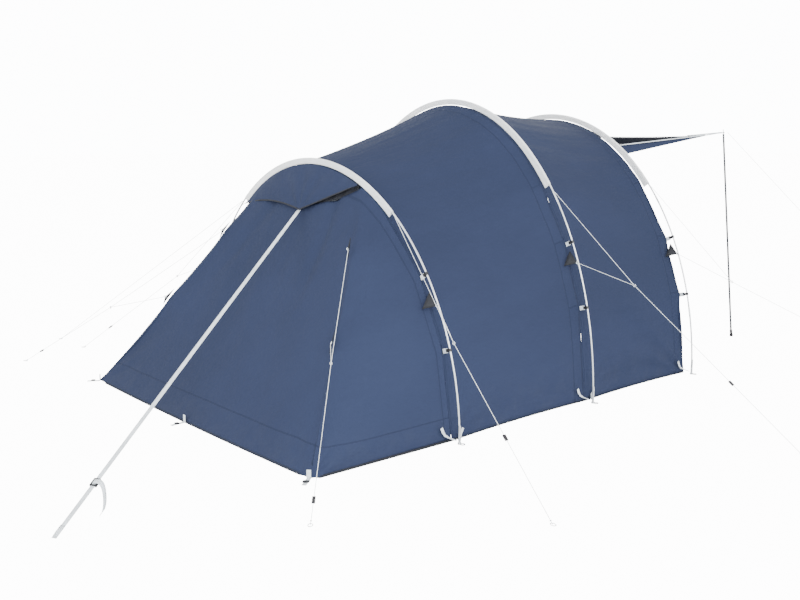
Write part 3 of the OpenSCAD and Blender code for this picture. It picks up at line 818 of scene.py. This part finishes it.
# Flysheet


def pull(p, hoop, t_away):
    """How much a tab's pull lifts the cloth at a point that is t_away metres from the hoop."""
    return sum(near(p.z, z * 0.97, 0.035) for z in hoop.clips) * near(t_away, 0, 0.07)


def bay(name, back, front, finish, node, seed):
    """One bay: soft folds, tight gathers at its hoops and creases that fan from its corners."""
    span = front.y - back.y

    def place(s, t):
        p = bay_point(back, front, s, t)
        length = s * ARCH_LEN
        ends = min(t, 1 - t) * span
        top = smooth((p.z - 1.0) / 0.5)
        folds = ripple(length * 9, t * 1.2, seed) * 0.6 + ripple(length * 21, t * 2.0, seed + 3) * 0.4
        d = folds * lerp(0.008, 0.010, top) * (0.3 + 0.7 * bulge(t)) - 0.004
        d += ripple(length * 16, t * 3, seed + 5) * 0.003 * near(ends, 0.03, 0.10)
        d += 0.006 * (pull(p, back, t * span) + pull(p, front, (1 - t) * span))
        d += 0.010 * ripple(length * 2.2, t * 2.4, seed + 9) * bulge(t) * (1 - top)
        d += 0.005 * (corner_fan(t * span, p.z, 0.35) + corner_fan((1 - t) * span, p.z, 0.35))
        if front is FRONT:
            d += 0.010 * corner_fan((1 - t) * span * 0.9, p.z, 0.85)
        return p + outward(p) * (d * smooth(p.z / 0.10))

    metric = lambda s, t, co: (lerp(back.y, front.y, t), min(s, 1 - s) * ARCH_LEN)
    bm = face_out(sheet_mesh(230, 76, place, metric))
    obj = thicken(piece(name, bm, finish, stands_for=[node]), FLY_THICK)


def make_rear_wall():
    """The sloping rear wall and its two corner gussets, with a seam that hangs in between its ties."""

    def place(s, t):
        a_x = REAR.cloth(lerp(EDGE_ANGLE, math.pi - EDGE_ANGLE, s)).x
        v = lerp(vent_edge(a_x), 1.0, t)
        p = wall_point(s, v)
        side = math.copysign(1.0, a_x)
        middle = smooth((SEAM_X - abs(a_x)) / 0.12 + 0.5)
        inward = Vector((0, 0.88, -0.48)) * middle + Vector((-side * 0.90, 0.38, -0.2)) * (1 - middle)
        inward.normalize()
        span = smooth((SEAM_X - abs(a_x)) / 0.4)
        depth = 0.006 + abs(ripple(p.x * 3.2 + p.z * 1.4, p.z * 1.8, 21)) * 0.012 * span * bulge(v)
        depth += ripple(p.x * 8, p.z * 0.9, 25) * 0.010 * span * smooth((p.z - 0.35) / 0.5)
        depth += ripple(math.atan2(p.x, 1.9 - p.z) * 16, v * 0.8, 23) * 0.003 * bulge(v)
        depth += ripple(p.z * 6 - p.y * 5, p.y * 3, 27) * 0.004 * (1 - span) * bulge(v)
        along = (HEM_W - abs(p.x)) if abs(a_x) < SEAM_X else (p.y - HEM_Y) * 1.2
        depth += 0.007 * corner_fan(max(0.0, along), p.z)
        depth += 0.018 * near(p.x, 0.33 + 0.12 * (1.25 - p.z), 0.05) * smooth((p.z - 0.65) / 0.45)
        depth += 0.018 * near(p.x, -0.33 - 0.60 * (1.28 - p.z), 0.07) * smooth((p.z - 0.55) / 0.50)
        sink = seam_sink(p.z) * near(abs(a_x), SEAM_X, 0.15 if abs(a_x) < SEAM_X else 0.22)
        return p + inward * (depth * smooth((1 - v) / 0.06) * smooth(v / 0.04 + 0.2) + sink)

    bm = sheet_mesh(220, 90, place, lambda s, t, co: (REAR.y - co.y, max(0.0, co.z / 0.84)))
    face_out(bm, Vector((0, -1, 0.4)))
    obj = piece("fly_rear_wall_cloth", bm, "rear", stands_for=["fly_rear_wall"])
    thicken(obj, FLY_THICK)


def make_vent():
    def place(s, t):
        u = lerp(0.385, 0.615, s)
        a_x = REAR.cloth(lerp(EDGE_ANGLE, math.pi - EDGE_ANGLE, u)).x
        v = lerp(0.004, max(0.01, vent_edge(a_x) + 0.004), t)
        p = wall_point(u, v)
        folds = 0.008 * math.sin(p.x * 70) + 0.004 * ripple(p.x * 30, p.z * 3, 31)
        return p + Vector((0, 0.012 + folds * bulge(t), 0))

    bm = face_out(sheet_mesh(120, 14, place, lambda s, t, co: (co.x + 5, co.z)), Vector((0, -1, 0.4)))
    obj = piece("rear_vent_netting", bm, "mesh", stands_for=["rear_vent_mesh"])
    thicken(obj, 0.0008)


def hood_low(x):
    """The hood's lower edge: taut to the right of the strap, bowed up to its left."""
    if x > 0:
        return HOOD_PEAK.lerp(HOOD_RIGHT, x / HOOD_RIGHT.x)
    k = x / HOOD_LEFT.x
    return HOOD_PEAK.lerp(HOOD_LEFT, k) + Vector((0, 0, 0.045 * bulge(k)))


def make_hood():
    """The hood over the vent, drawn back to a peak by the strap."""

    def place(s, t):
        x = lerp(HOOD_RIGHT.x, HOOD_LEFT.x, s)
        rise = (REAR.h - INSET_TOP) * math.sqrt(1 - (x / (REAR.w - INSET_SIDE)) ** 2)
        p = Vector((x, REAR.y - 0.012, rise - 0.002)).lerp(hood_low(x), t)
        away = p - HOOD_PEAK
        turn = math.atan2(away.x, away.z + 0.01)
        fan = math.sin(turn * 9 + 0.6) * 0.0045 * smooth(away.length / 0.08) * smooth((1 - t) / 0.2 + 0.35)
        crown = 0.008 * bulge(t) * smooth((0.55 - abs(x + 0.1)) / 0.3)
        return p + Vector((0, -crown - fan * smooth(t / 0.25), 0.3 * crown))

    bm = face_out(sheet_mesh(110, 30, place, lambda s, t, co: (co.x + 10, t * 0.30)), Vector((0, -1, 0.4)))
    obj = thicken(piece("rear_hood_cloth", bm, "hood", stands_for=["rear_hood"]), FLY_THICK)
    edge = [place(s / 90, 0.985) for s in range(91)]
    up = [(place(s / 90, 0.5) - q) for s, q in enumerate(edge)]
    bm = ribbon(bmesh.new(), [q + Vector((0, -0.0012, 0)) for q in edge], up, 0.009, 1)
    hem = thicken(piece("rear_hood_hem", bm, "hem"), 0.0012, 0.0)


def make_sleeve(key, hoop, number):
    """A strip of cloth folded over the pole, with both edges sewn down to the flysheet."""
    a0 = math.acos(SLEEVE_END[number] / hoop.w)
    wall_share, cap_r = 0.58, 0.0078

    def place(s, t):
        a = lerp(a0, math.pi - a0, t)
        depth = INSET_TOP + (INSET_SIDE - INSET_TOP) * math.cos(a) ** 2
        q = 2 * s - 1
        if abs(q) > 1 - wall_share:
            k = (1 - abs(q)) / wall_share
            across, out = math.copysign(lerp(0.0015, 0.0072, k), q), lerp(-depth, -0.003, k)
        else:
            turn = q / (1 - wall_share) * math.radians(112)
            across, out = math.sin(turn) * cap_r, math.cos(turn) * cap_r
        gather = ripple(t * 60, out * 30, 51 + number) * 0.0012 * smooth(-out / 0.03)
        return hoop.pole(a, out) + Vector((0, across + gather, 0))

    bm = sheet_mesh(28, 220, place, lambda s, t, co: (t * 2.4, s * 0.13))
    bmesh.ops.recalc_face_normals(bm, faces=bm.faces)
    bm.normal_update()
    if max(bm.faces, key=lambda f: f.calc_center_median().z).normal.z < 0:
        bmesh.ops.reverse_faces(bm, faces=bm.faces)
    obj = piece(key + "_sleeve_cloth", bm, "sleeve", stands_for=[key + "_sleeve"])
    thicken(obj, 0.0009)
    run = [hoop.pole(lerp(a0, math.pi - a0, k / 60)) for k in range(61)]
    long = sum((b - a).length for a, b in zip(run, run[1:]))


def make_front_wall():
    """The two panels that close the tunnel's end beside the doorway."""
    w, h = FRONT.w - INSET_SIDE - 0.007, FRONT.h - INSET_TOP - 0.007
    head = h * math.sqrt(1 - ((CANOPY_IN + 0.02) / w) ** 2)
    for side, name in ((1, "front_wall_right_cloth"), (-1, "front_wall_left_cloth")):
        def place(s, t, side=side):
            z = lerp(0.002, head, t)
            inner = lerp(0.900, CANOPY_IN + 0.02, z / head)
            outer = w * math.sqrt(max(0.0, 1 - (z / h) ** 2))
            folds = ripple(s * 2.4, z * 1.2, 71 + side) * 0.006 * bulge(s)
            x = lerp(inner, max(outer, inner + 0.002), s)
            return Vector((side * x, FRONT.y - 0.0115 + folds * 0.5, z))

        bm = face_out(sheet_mesh(24, 60, place, lambda s, t, co: (abs(co.x) + 30, co.z)), Vector((0, 1, 0)))
        obj = thicken(piece(name, bm, "front", stands_for=["front_wall"]), FLY_THICK)


def ground_line(side):
    """Points along the hem on the ground, from the doorway round to the middle of the rear."""
    points = []
    for back, front in ((MIDDLE, FRONT), (REAR, MIDDLE)):
        for k in range(13):
            t = 1 - k / 12
            x = lerp(back.w, front.w, t) - INSET_SIDE - 0.022 * bulge(t)
            points.append(Vector((side * x, lerp(back.y, front.y, t), 0)))
    for k in range(1, 9):
        points.append(wall_point(0.0 if side > 0 else 1.0, k / 8, low=0.0))
    for k in range(1, 15):
        x = lerp(HEM_W, 0, k / 14)
        points.append(Vector((side * x, HEM_Y - 0.020 * (1 - (x / HEM_W) ** 2), 0)))
    return points


def make_hem():
    """A narrow dark band along the foot of the flysheet."""
    right = ground_line(1)
    whole = right + [Vector((-p.x, p.y, p.z)) for p in right[-2::-1]]
    whole = [p for i, p in enumerate(whole) if i == 0 or (p - whole[i - 1]).length > 0.004]
    middle = Vector((0, -0.5, 0))
    path = [p + (middle - p).normalized() * 0.002 + Vector((0, 0, 0.0072)) for p in whole]
    bm = ribbon(bmesh.new(), path, Vector((0, 0, 1)), 0.0134, 2)
    obj = piece("hem_binding_tape", face_out(bm), "hem", stands_for=["hem_binding"])
    thicken(obj, 0.003)


def canopy_top(x):
    return (FRONT.h - INSET_TOP) * math.sqrt(1 - (x / (FRONT.w - INSET_SIDE)) ** 2) - 0.006


def canopy_point(u, v):
    """A point of the raised door between its zips: it drops inside the hoop, and then runs out flat."""
    top = canopy_top(ZIP_IN * u)
    flat, slack = min(top, CHORD_Z), 1 - u * u
    return Vector((
        lerp(ZIP_IN, ZIP_OUT, v) * u,
        CANOPY_Y + CANOPY_LEN * v - 0.060 * v * slack,
        lerp(flat, TIP.z - 0.025 - 0.015 * slack, v) + (top - flat) * (1 - v) ** 6,
    ))


def canopy_side(side, v):
    """A point of the panel's outer edge beyond the zip."""
    start = Vector((side * CANOPY_IN, CANOPY_Y, canopy_top(CANOPY_IN)))
    return start.lerp(Vector((side * CANOPY_OUT, CANOPY_Y + CANOPY_LEN, TIP.z - 0.025)), v)


def make_canopy():
    """The door panel, raised on its two poles, with its zip tapes, corner straps and eyelets."""
    brim = 0.045

    def place(s, t):
        t = t**1.5
        if s < brim:
            return canopy_side(1, t).lerp(canopy_point(1, t), s / brim)
        if s > 1 - brim:
            return canopy_side(-1, t).lerp(canopy_point(-1, t), (1 - s) / brim)
        u = lerp(1, -1, (s - brim) / (1 - 2 * brim))
        p = canopy_point(u, t)
        corner = min((p - canopy_point(1, 1)).length, (p - canopy_point(-1, 1)).length)
        rays = ripple(math.atan2(1 - abs(u), 1.02 - t) * 9, corner * 1.1, 81) * 0.005
        rays *= near(corner, 0.12, 0.40)
        wave = ripple(p.x * 5, p.y * 2.5, 83) * 0.004 * bulge(t)
        slack = smooth((1 - abs(u)) / 0.15)
        return p + Vector((0, 0, (-abs(rays) * 0.6 - 0.001 + wave * 0.5) * slack))

    bm = face_out(sheet_mesh(100, 64, place, lambda s, t, co: (co.x + 40, co.y)), Vector((0, 0, 1)))
    cloth = piece("canopy_cloth", bm, "canopy", None, stands_for=["canopy_panel"])
    # Beyond the zips the panel keeps the front wall's flysheet finish; between them it takes the canopy
    # finish, whose dark colour is painted shade.
    cloth.data.materials.append(FINISHES["front"])
    for f in cloth.data.polygons:
        if abs(f.center.x) > lerp(ZIP_IN, ZIP_OUT, (f.center.y - CANOPY_Y) / CANOPY_LEN):
            f.material_index = 1
    thicken(cloth, FLY_THICK)
    edge = bmesh.new()
    for side in (1, -1):
        path = [canopy_point(side, k / 30) + Vector((0, 0, lerp(0.005, 0.002, k / 30))) for k in range(31)]
        ribbon(edge, path, Vector((1, 0, side * -0.35)), 0.016, 2)
    face_out(edge, Vector((0, 0, 1)))
    tape = piece("canopy_edge_webbing", edge, "webbing", None, ["canopy_edge_tape"])
    thicken(tape, FLY_THICK, 0.0)
    for obj in (cloth, tape):
        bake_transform(obj)
    front = bmesh.new()
    rim = [canopy_point(lerp(1, -1, k / 60), 0.992) + Vector((0, 0, 0.0012)) for k in range(61)]
    ribbon(front, rim, Vector((0, 1, 0)), 0.014, 2)
    hem = piece("canopy_front_hem", face_out(front, Vector((0, 0, 1))), "hem", "canopy")
    thicken(hem, 0.002, 0.0)
    straps = bmesh.new()
    for side in (1, -1):
        tip = Vector((side * TIP.x, TIP.y, TIP.z - 0.004))
        for start, across in ((canopy_side(side, 0.985), Vector((1, 0, 0))),
                              (canopy_point(side * 0.82, 0.985), Vector((1, side, 0)))):
            aim = tip + (start - tip).normalized() * 0.012
            path = [start.lerp(aim, k / 10) + Vector((0, 0, 0.001)) for k in range(11)]
            ribbon(straps, path, across, 0.021, 3)
    corner = piece(
        "canopy_corner_straps", face_out(straps, Vector((0, 0, 1))), "webbing", "canopy",
        ["canopy_corner_webbing"],
    )
    thicken(corner, 0.002, 0.0)
    tips = [Vector((side * TIP.x, TIP.y, TIP.z - 0.004)) for side in (1, -1)]
    eyes = join([ring_mesh(tip, (0, 0, 1), 0.010, 0.003) for tip in tips])
    piece("canopy_eyelets", eyes, "zip", "canopy")
    for part, finish in (("canopy_pole", "steel"), ("canopy_foot", "rubber"), ("zip_slider", "zip")):
        for side in ("right", "left"):
            paint(f"{part}_{side}", finish)


def make_fly():
    bay("fly_cabin_bay_cloth", REAR, MIDDLE, "cabin", "fly_cabin_bay", 1)
    bay("fly_porch_bay_cloth", MIDDLE, FRONT, "porch", "fly_porch_bay", 2)
    make_rear_wall()
    make_vent()
    make_hood()
    make_front_wall()
    make_hem()


# Hoops and their fittings


def rod(name, points, radius, node):
    """A smooth bent rod: a bevelled curve, turned into a mesh."""
    curve = bpy.data.objects.new(name + "_path", round_curve(name, points, radius, 4))
    bm = bmesh.new()
    bm.from_mesh(bpy.data.meshes.new_from_object(curve))
    bpy.data.objects.remove(curve)
    return piece(name, bm, "pole", stands_for=[node])


def make_hoops():
    for number, (key, hoop) in enumerate(zip(("rear", "middle", "front"), HOOPS)):
        low = math.asin(0.008 / hoop.h)
        points = [hoop.pole(lerp(low, math.pi - low, k / 160)) for k in range(161)]
        rod(key + "_hoop_rod", points, POLE_R, key + "_hoop_pole")
        make_sleeve(key, hoop, number)
    for node in ("pole_ferrules", "pole_feet"):
        paint(node, "ferrule")
    paint("foot_rings", "ring")
    paint("pole_clips", "plastic")


def both_sides():
    return [(hoop, side) for hoop in HOOPS for side in (1, -1)]


def make_tabs():
    """The webbing tabs under the clips, and the foot webbing."""
    bm = bmesh.new()
    for hoop, side in both_sides():
        for z in hoop.clips:
            n = hoop.normal(hoop.angle(z, side))
            path = [hoop.at_height(z, side) - n * lerp(0.062, 0.022, k / 8) for k in range(9)]
            ribbon(bm, path, Vector((-n.z, 0, n.x)), 0.028, 3)
    obj = piece("clip_tab_webbing", bm, "webbing", stands_for=["clip_tabs"])
    thicken(obj, WEBBING_THICK, 0.0)

    bm = bmesh.new()
    for hoop, side in both_sides():
        for d in (-1, 1):
            if hoop is FRONT and d > 0:
                continue
            path = [
                Vector((side * (hoop.w - inset), hoop.y + d * along, z if d < 0 else z * 0.6 + 0.006))
                for inset, along, z in ((0.058, 0.085, 0.098), (0.057, 0.074, 0.072), (0.055, 0.060, 0.050),
                                        (0.040, 0.042, 0.037), (0.026, 0.026, 0.029), (0.012, 0.012, 0.022))
            ]
            ribbon(bm, path, Vector((0, d, 0.25)), 0.018, 3)
    obj = piece("foot_webbing_straps", bm, "webbing", stands_for=["foot_webbing"])
    thicken(obj, WEBBING_THICK, 0.0)
    make_patches()
    make_hem_tabs()


def make_patches():
    """Dark triangles that spread each guy line's pull, each with a webbing loop at its tip."""
    bm, loops = bmesh.new(), []
    layer = bm.loops.layers.uv.new("cloth")
    corners = []
    for hoop, side in both_sides():
        p = hoop.at_height(hoop.patch, side)
        corners.append((
            Vector((p.x - side * 0.056, hoop.y - 0.072, p.z - 0.020)),
            Vector((p.x - side * 0.060, hoop.y - 0.014, p.z + 0.072)),
            Vector((p.x + side * 0.004, hoop.y - 0.0125, p.z)),
        ))
    for side in (1, -1):
        for points in (
            ((0.672, -1.540, 1.125), (0.722, -1.600, 1.010), (0.706, -1.590, 1.066)),
            ((0.925, -1.850, 0.660), (0.968, -1.925, 0.545), (0.964, -1.908, 0.602)),
        ):
            corners.append([Vector((side * x, y, z)) for x, y, z in points])
    for a, b, tip in corners:
        face = bm.faces.new([bm.verts.new(q) for q in (a, b, tip)])
        for loop in face.loops:
            loop[layer].uv = (loop.vert.co.x + loop.vert.co.y, loop.vert.co.z)
        loops.append(ring_mesh(tip, (a - tip).cross(b - tip), 0.006, 0.0020, 1.4, tip - (a + b) / 2, 16, 6))
    bmesh.ops.subdivide_edges(bm, edges=bm.edges[:], cuts=3, use_grid_fill=True)
    thicken(piece("guy_patch_cloth", bm, "patch", stands_for=["guy_patches"]), 0.003, 0.0)
    piece("guy_patch_loops", join(loops), "webbing")


def make_hem_tabs():
    """Pegging tabs of webbing at the rear hem."""
    bm = bmesh.new()
    for x, y, turn in ((1.262, HEM_Y, 38), (0.0, HEM_Y - 0.020, 0), (-1.262, HEM_Y, -38)):
        r = Matrix.Rotation(math.radians(turn), 3, "Z")
        c = Vector((x, y, 0))
        flat = [(lerp(-0.089, -0.001, k / 12), lerp(0.0035, 0.0055, k / 12)) for k in range(13)]
        path = [c + r @ Vector((0, back, z)) for back, z in flat]
        path += [c + r @ Vector((0, -0.0005, lerp(0.010, 0.052, k / 6))) for k in range(7)]
        ribbon(bm, path, r @ Vector((1, 0, 0)), 0.024, 3)
    thicken(piece("hem_tab_webbing", bm, "webbing", stands_for=["hem_tabs"]), 0.0022, 0.0)
    paint("hem_buckles", "plastic")


# Inner tent


def make_inner():
    gap, cabin_front = 0.077, -0.176

    def wall(s, t):
        y = lerp(REAR.y + 0.004, cabin_front - 0.006, t)
        k = (y - REAR.y) / (MIDDLE.y - REAR.y)
        p = bay_point(REAR, MIDDLE, s, k, gap, 0.012)
        fold = ripple(s * 30, k * 2, 91) * 0.006
        return p - outward(p) * abs(fold)

    bm = face_out(sheet_mesh(120, 30, wall, lambda s, t, co: (co.y, s * 3.6)))
    obj = piece("inner_tent_walls", bm, "inner", stands_for=["inner_walls"])
    thicken(obj, INNER_THICK)

    def rear(s, t):
        p = wall_point(s, t, gap, 1.150, HEM_Y + 0.100, 0.012)
        return p + Vector((0, 0.010 + abs(ripple(p.x * 4, p.z * 3, 93)) * 0.012 * bulge(t), 0))

    bm = face_out(sheet_mesh(90, 40, rear, lambda s, t, co: (co.x, co.z)), Vector((0, -1, 0.4)))
    obj = piece("inner_tent_rear", bm, "inner", stands_for=["inner_rear_wall"])
    thicken(obj, INNER_THICK)

    w, h = MIDDLE.w - INSET_SIDE - 0.105, MIDDLE.h - INSET_TOP - 0.105
    bm = bmesh.new()
    count = 96

    def outline(angle, kind):
        """A point on the arch's or the door's edge in the direction of an angle about the door's middle."""
        dx, dz = math.cos(angle), math.sin(angle)
        low, high = 0.0, 3.0
        for _ in range(30):
            mid = (low + high) / 2
            x, z = dx * mid, 0.75 + dz * mid
            if kind == "arch":
                inside = z > 0.012 and (x / w) ** 2 + (z / h) ** 2 < 1
            else:
                inside = in_door(x, z, 0.0 if kind == "hole" else 0.004)
            low, high = (mid, high) if inside else (low, mid)
        return Vector((dx * low, 0, 0.75 + dz * low))

    def in_door(x, z, g):
        if abs(x) > 0.5 - g or not 0.11 + g < z < 1.4 - g:
            return False
        cx, cz, r = 0.5 - 0.16, 1.4 - 0.16, 0.16 - g
        return not (abs(x) > cx and z > cz) or math.hypot(abs(x) - cx, z - cz) < r

    loops = []
    for kind in ("arch", "hole"):
        made = bmesh.ops.create_circle(bm, segments=count, radius=1.0)
        for k, v in enumerate(made["verts"]):
            v.co = outline(k / count * math.tau, kind) + Vector((0, cabin_front - 0.001, 0))
        loops += list({e for v in made["verts"] for e in v.link_edges})
    bmesh.ops.bridge_loops(bm, edges=loops)
    bmesh.ops.subdivide_edges(bm, edges=bm.edges[:], cuts=2, use_grid_fill=True)
    map_cloth(bm, lambda co: (co.x, co.z))
    face_out(bm, Vector((0, 1, 0)))
    obj = piece("inner_tent_front", bm, "inner", stands_for=["inner_front_wall"])
    thicken(obj, INNER_THICK)

    bm = bmesh.new()
    made = bmesh.ops.create_circle(bm, segments=count, radius=1.0, cap_ends=True)
    for k, v in enumerate(made["verts"]):
        v.co = outline(k / count * math.tau, "door") + Vector((0, cabin_front - 0.002, 0))
    for inset in (0.03, 0.12, 0.14):
        bmesh.ops.inset_region(bm, faces=[max(bm.faces, key=lambda f: f.calc_area())], thickness=inset)
    for v in bm.verts:
        v.co.y += 0.0012 * ripple(v.co.x * 8, v.co.z * 3, 97)
    map_cloth(bm, lambda co: (co.x, co.z))
    face_out(bm, Vector((0, 1, 0)))
    obj = piece("inner_door_cloth", bm, "inner", "inner_door", ["inner_door"])
    thicken(obj, INNER_THICK)

    def floor(s, t):
        x, y = lerp(-1, 1, s), lerp(HEM_Y + 0.060, MIDDLE.y - 0.070, t)
        half = lerp(1.17, 1.225, smooth((y - HEM_Y) / 0.9))
        return Vector((x * half, y, 0.0022 + 0.0012 * max(0.0, ripple(x * 6, y * 6, 99))))

    bm = face_out(sheet_mesh(60, 50, floor, lambda s, t, co: (co.x, co.y)), Vector((0, 0, 1)))
    obj = piece("groundsheet_cloth", bm, "floor", stands_for=["groundsheet"])
    thicken(obj, INNER_THICK)


# Add-on


class TentColours(bpy.types.PropertyGroup):
    """Colours of the tent's cloths, poles and lines."""

    def tint(name, description, default):
        return bpy.props.FloatVectorProperty(
            name=name, description=description, size=3, subtype="COLOR", default=default
        )

    fly: tint("Flysheet", "Colour of the flysheet", (0.0225, 0.0300, 0.0605))
    # The canopy's share of this dark colour is painted shade; the guy patches are this dark themselves.
    dark: tint("Canopy", "Colour of the canopy and the guy patches", (0.0032, 0.0045, 0.0090))
    hem: tint("Hem", "Colour of the hem tape and the vent mesh", (0.0050, 0.0065, 0.0130))
    sleeve: tint("Sleeves", "Colour of the pole sleeves", (0.93, 0.96, 0.98))
    webbing: tint("Webbing", "Colour of the straps and tabs", (0.74, 0.80, 0.84))
    inner: tint("Inner tent", "Colour of the inner tent", (0.30, 0.34, 0.40))
    floor: tint("Floor", "Colour of the groundsheet", (0.050, 0.055, 0.065))
    pole: tint("Poles", "Colour of the hoop poles and metal fittings", (0.70, 0.72, 0.74))
    steel: tint("Canopy poles", "Colour of the canopy poles", (0.090, 0.095, 0.100))
    plastic: tint("Plastic", "Colour of the clips, buckles and feet", (0.012, 0.012, 0.014))
    line: tint("Lines", "Colour of the guy lines", (0.80, 0.83, 0.85))


def operator(name, label, doc, work):
    """A simple operator class for one group of pieces."""

    def execute(self, context):
        work()
        return {"FINISHED"}

    return type(
        "TENT_OT_" + name,
        (bpy.types.Operator,),
        {"bl_idname": "tent." + name, "bl_label": label, "__doc__": doc, "execute": execute},
    )


STEPS = [
    operator("stage", "Stage", "Adds the floor, lights and camera", make_stage),
    operator("lines", "Guy lines", "Adds the guy lines, their loops, rings and tensioners", make_lines),
    operator("strap", "Rear strap", "Adds the rear strap with its buckle and tail", make_strap),
    operator("flysheet", "Flysheet", "Adds the bays, walls, hood, vent and hem", make_fly),
    operator("hoops", "Hoops", "Adds the poles and their sleeves", make_hoops),
    operator("tabs", "Tabs", "Adds the webbing tabs, patches and foot straps", make_tabs),
    operator("canopy", "Canopy", "Adds the raised door canopy and finishes its poles", make_canopy),
    operator("inner", "Inner tent", "Adds the sleeping cabin, its door and its floor", make_inner),
]


class TENT_PT_panel(bpy.types.Panel):
    """Lists the tent's pieces in the sidebar."""

    bl_label = "Tunnel Tent"
    bl_idname = "TENT_PT_panel"
    bl_space_type = "VIEW_3D"
    bl_region_type = "UI"
    bl_category = "Tent"

    def draw(self, context):
        for step in STEPS:
            self.layout.operator(step.bl_idname)


CLASSES = [TentColours, *STEPS, TENT_PT_panel]


def register():
    for item in CLASSES:
        bpy.utils.register_class(item)
    bpy.types.Scene.tent_colours = bpy.props.PointerProperty(type=TentColours)


def unregister():
    del bpy.types.Scene.tent_colours
    for item in reversed(CLASSES):
        bpy.utils.unregister_class(item)


def main():
    register()
    make_finishes(bpy.context.scene.tent_colours)
    for step in STEPS:
        getattr(bpy.ops.tent, step.bl_idname.split(".")[1])()


if __name__ == "__main__":
    main()
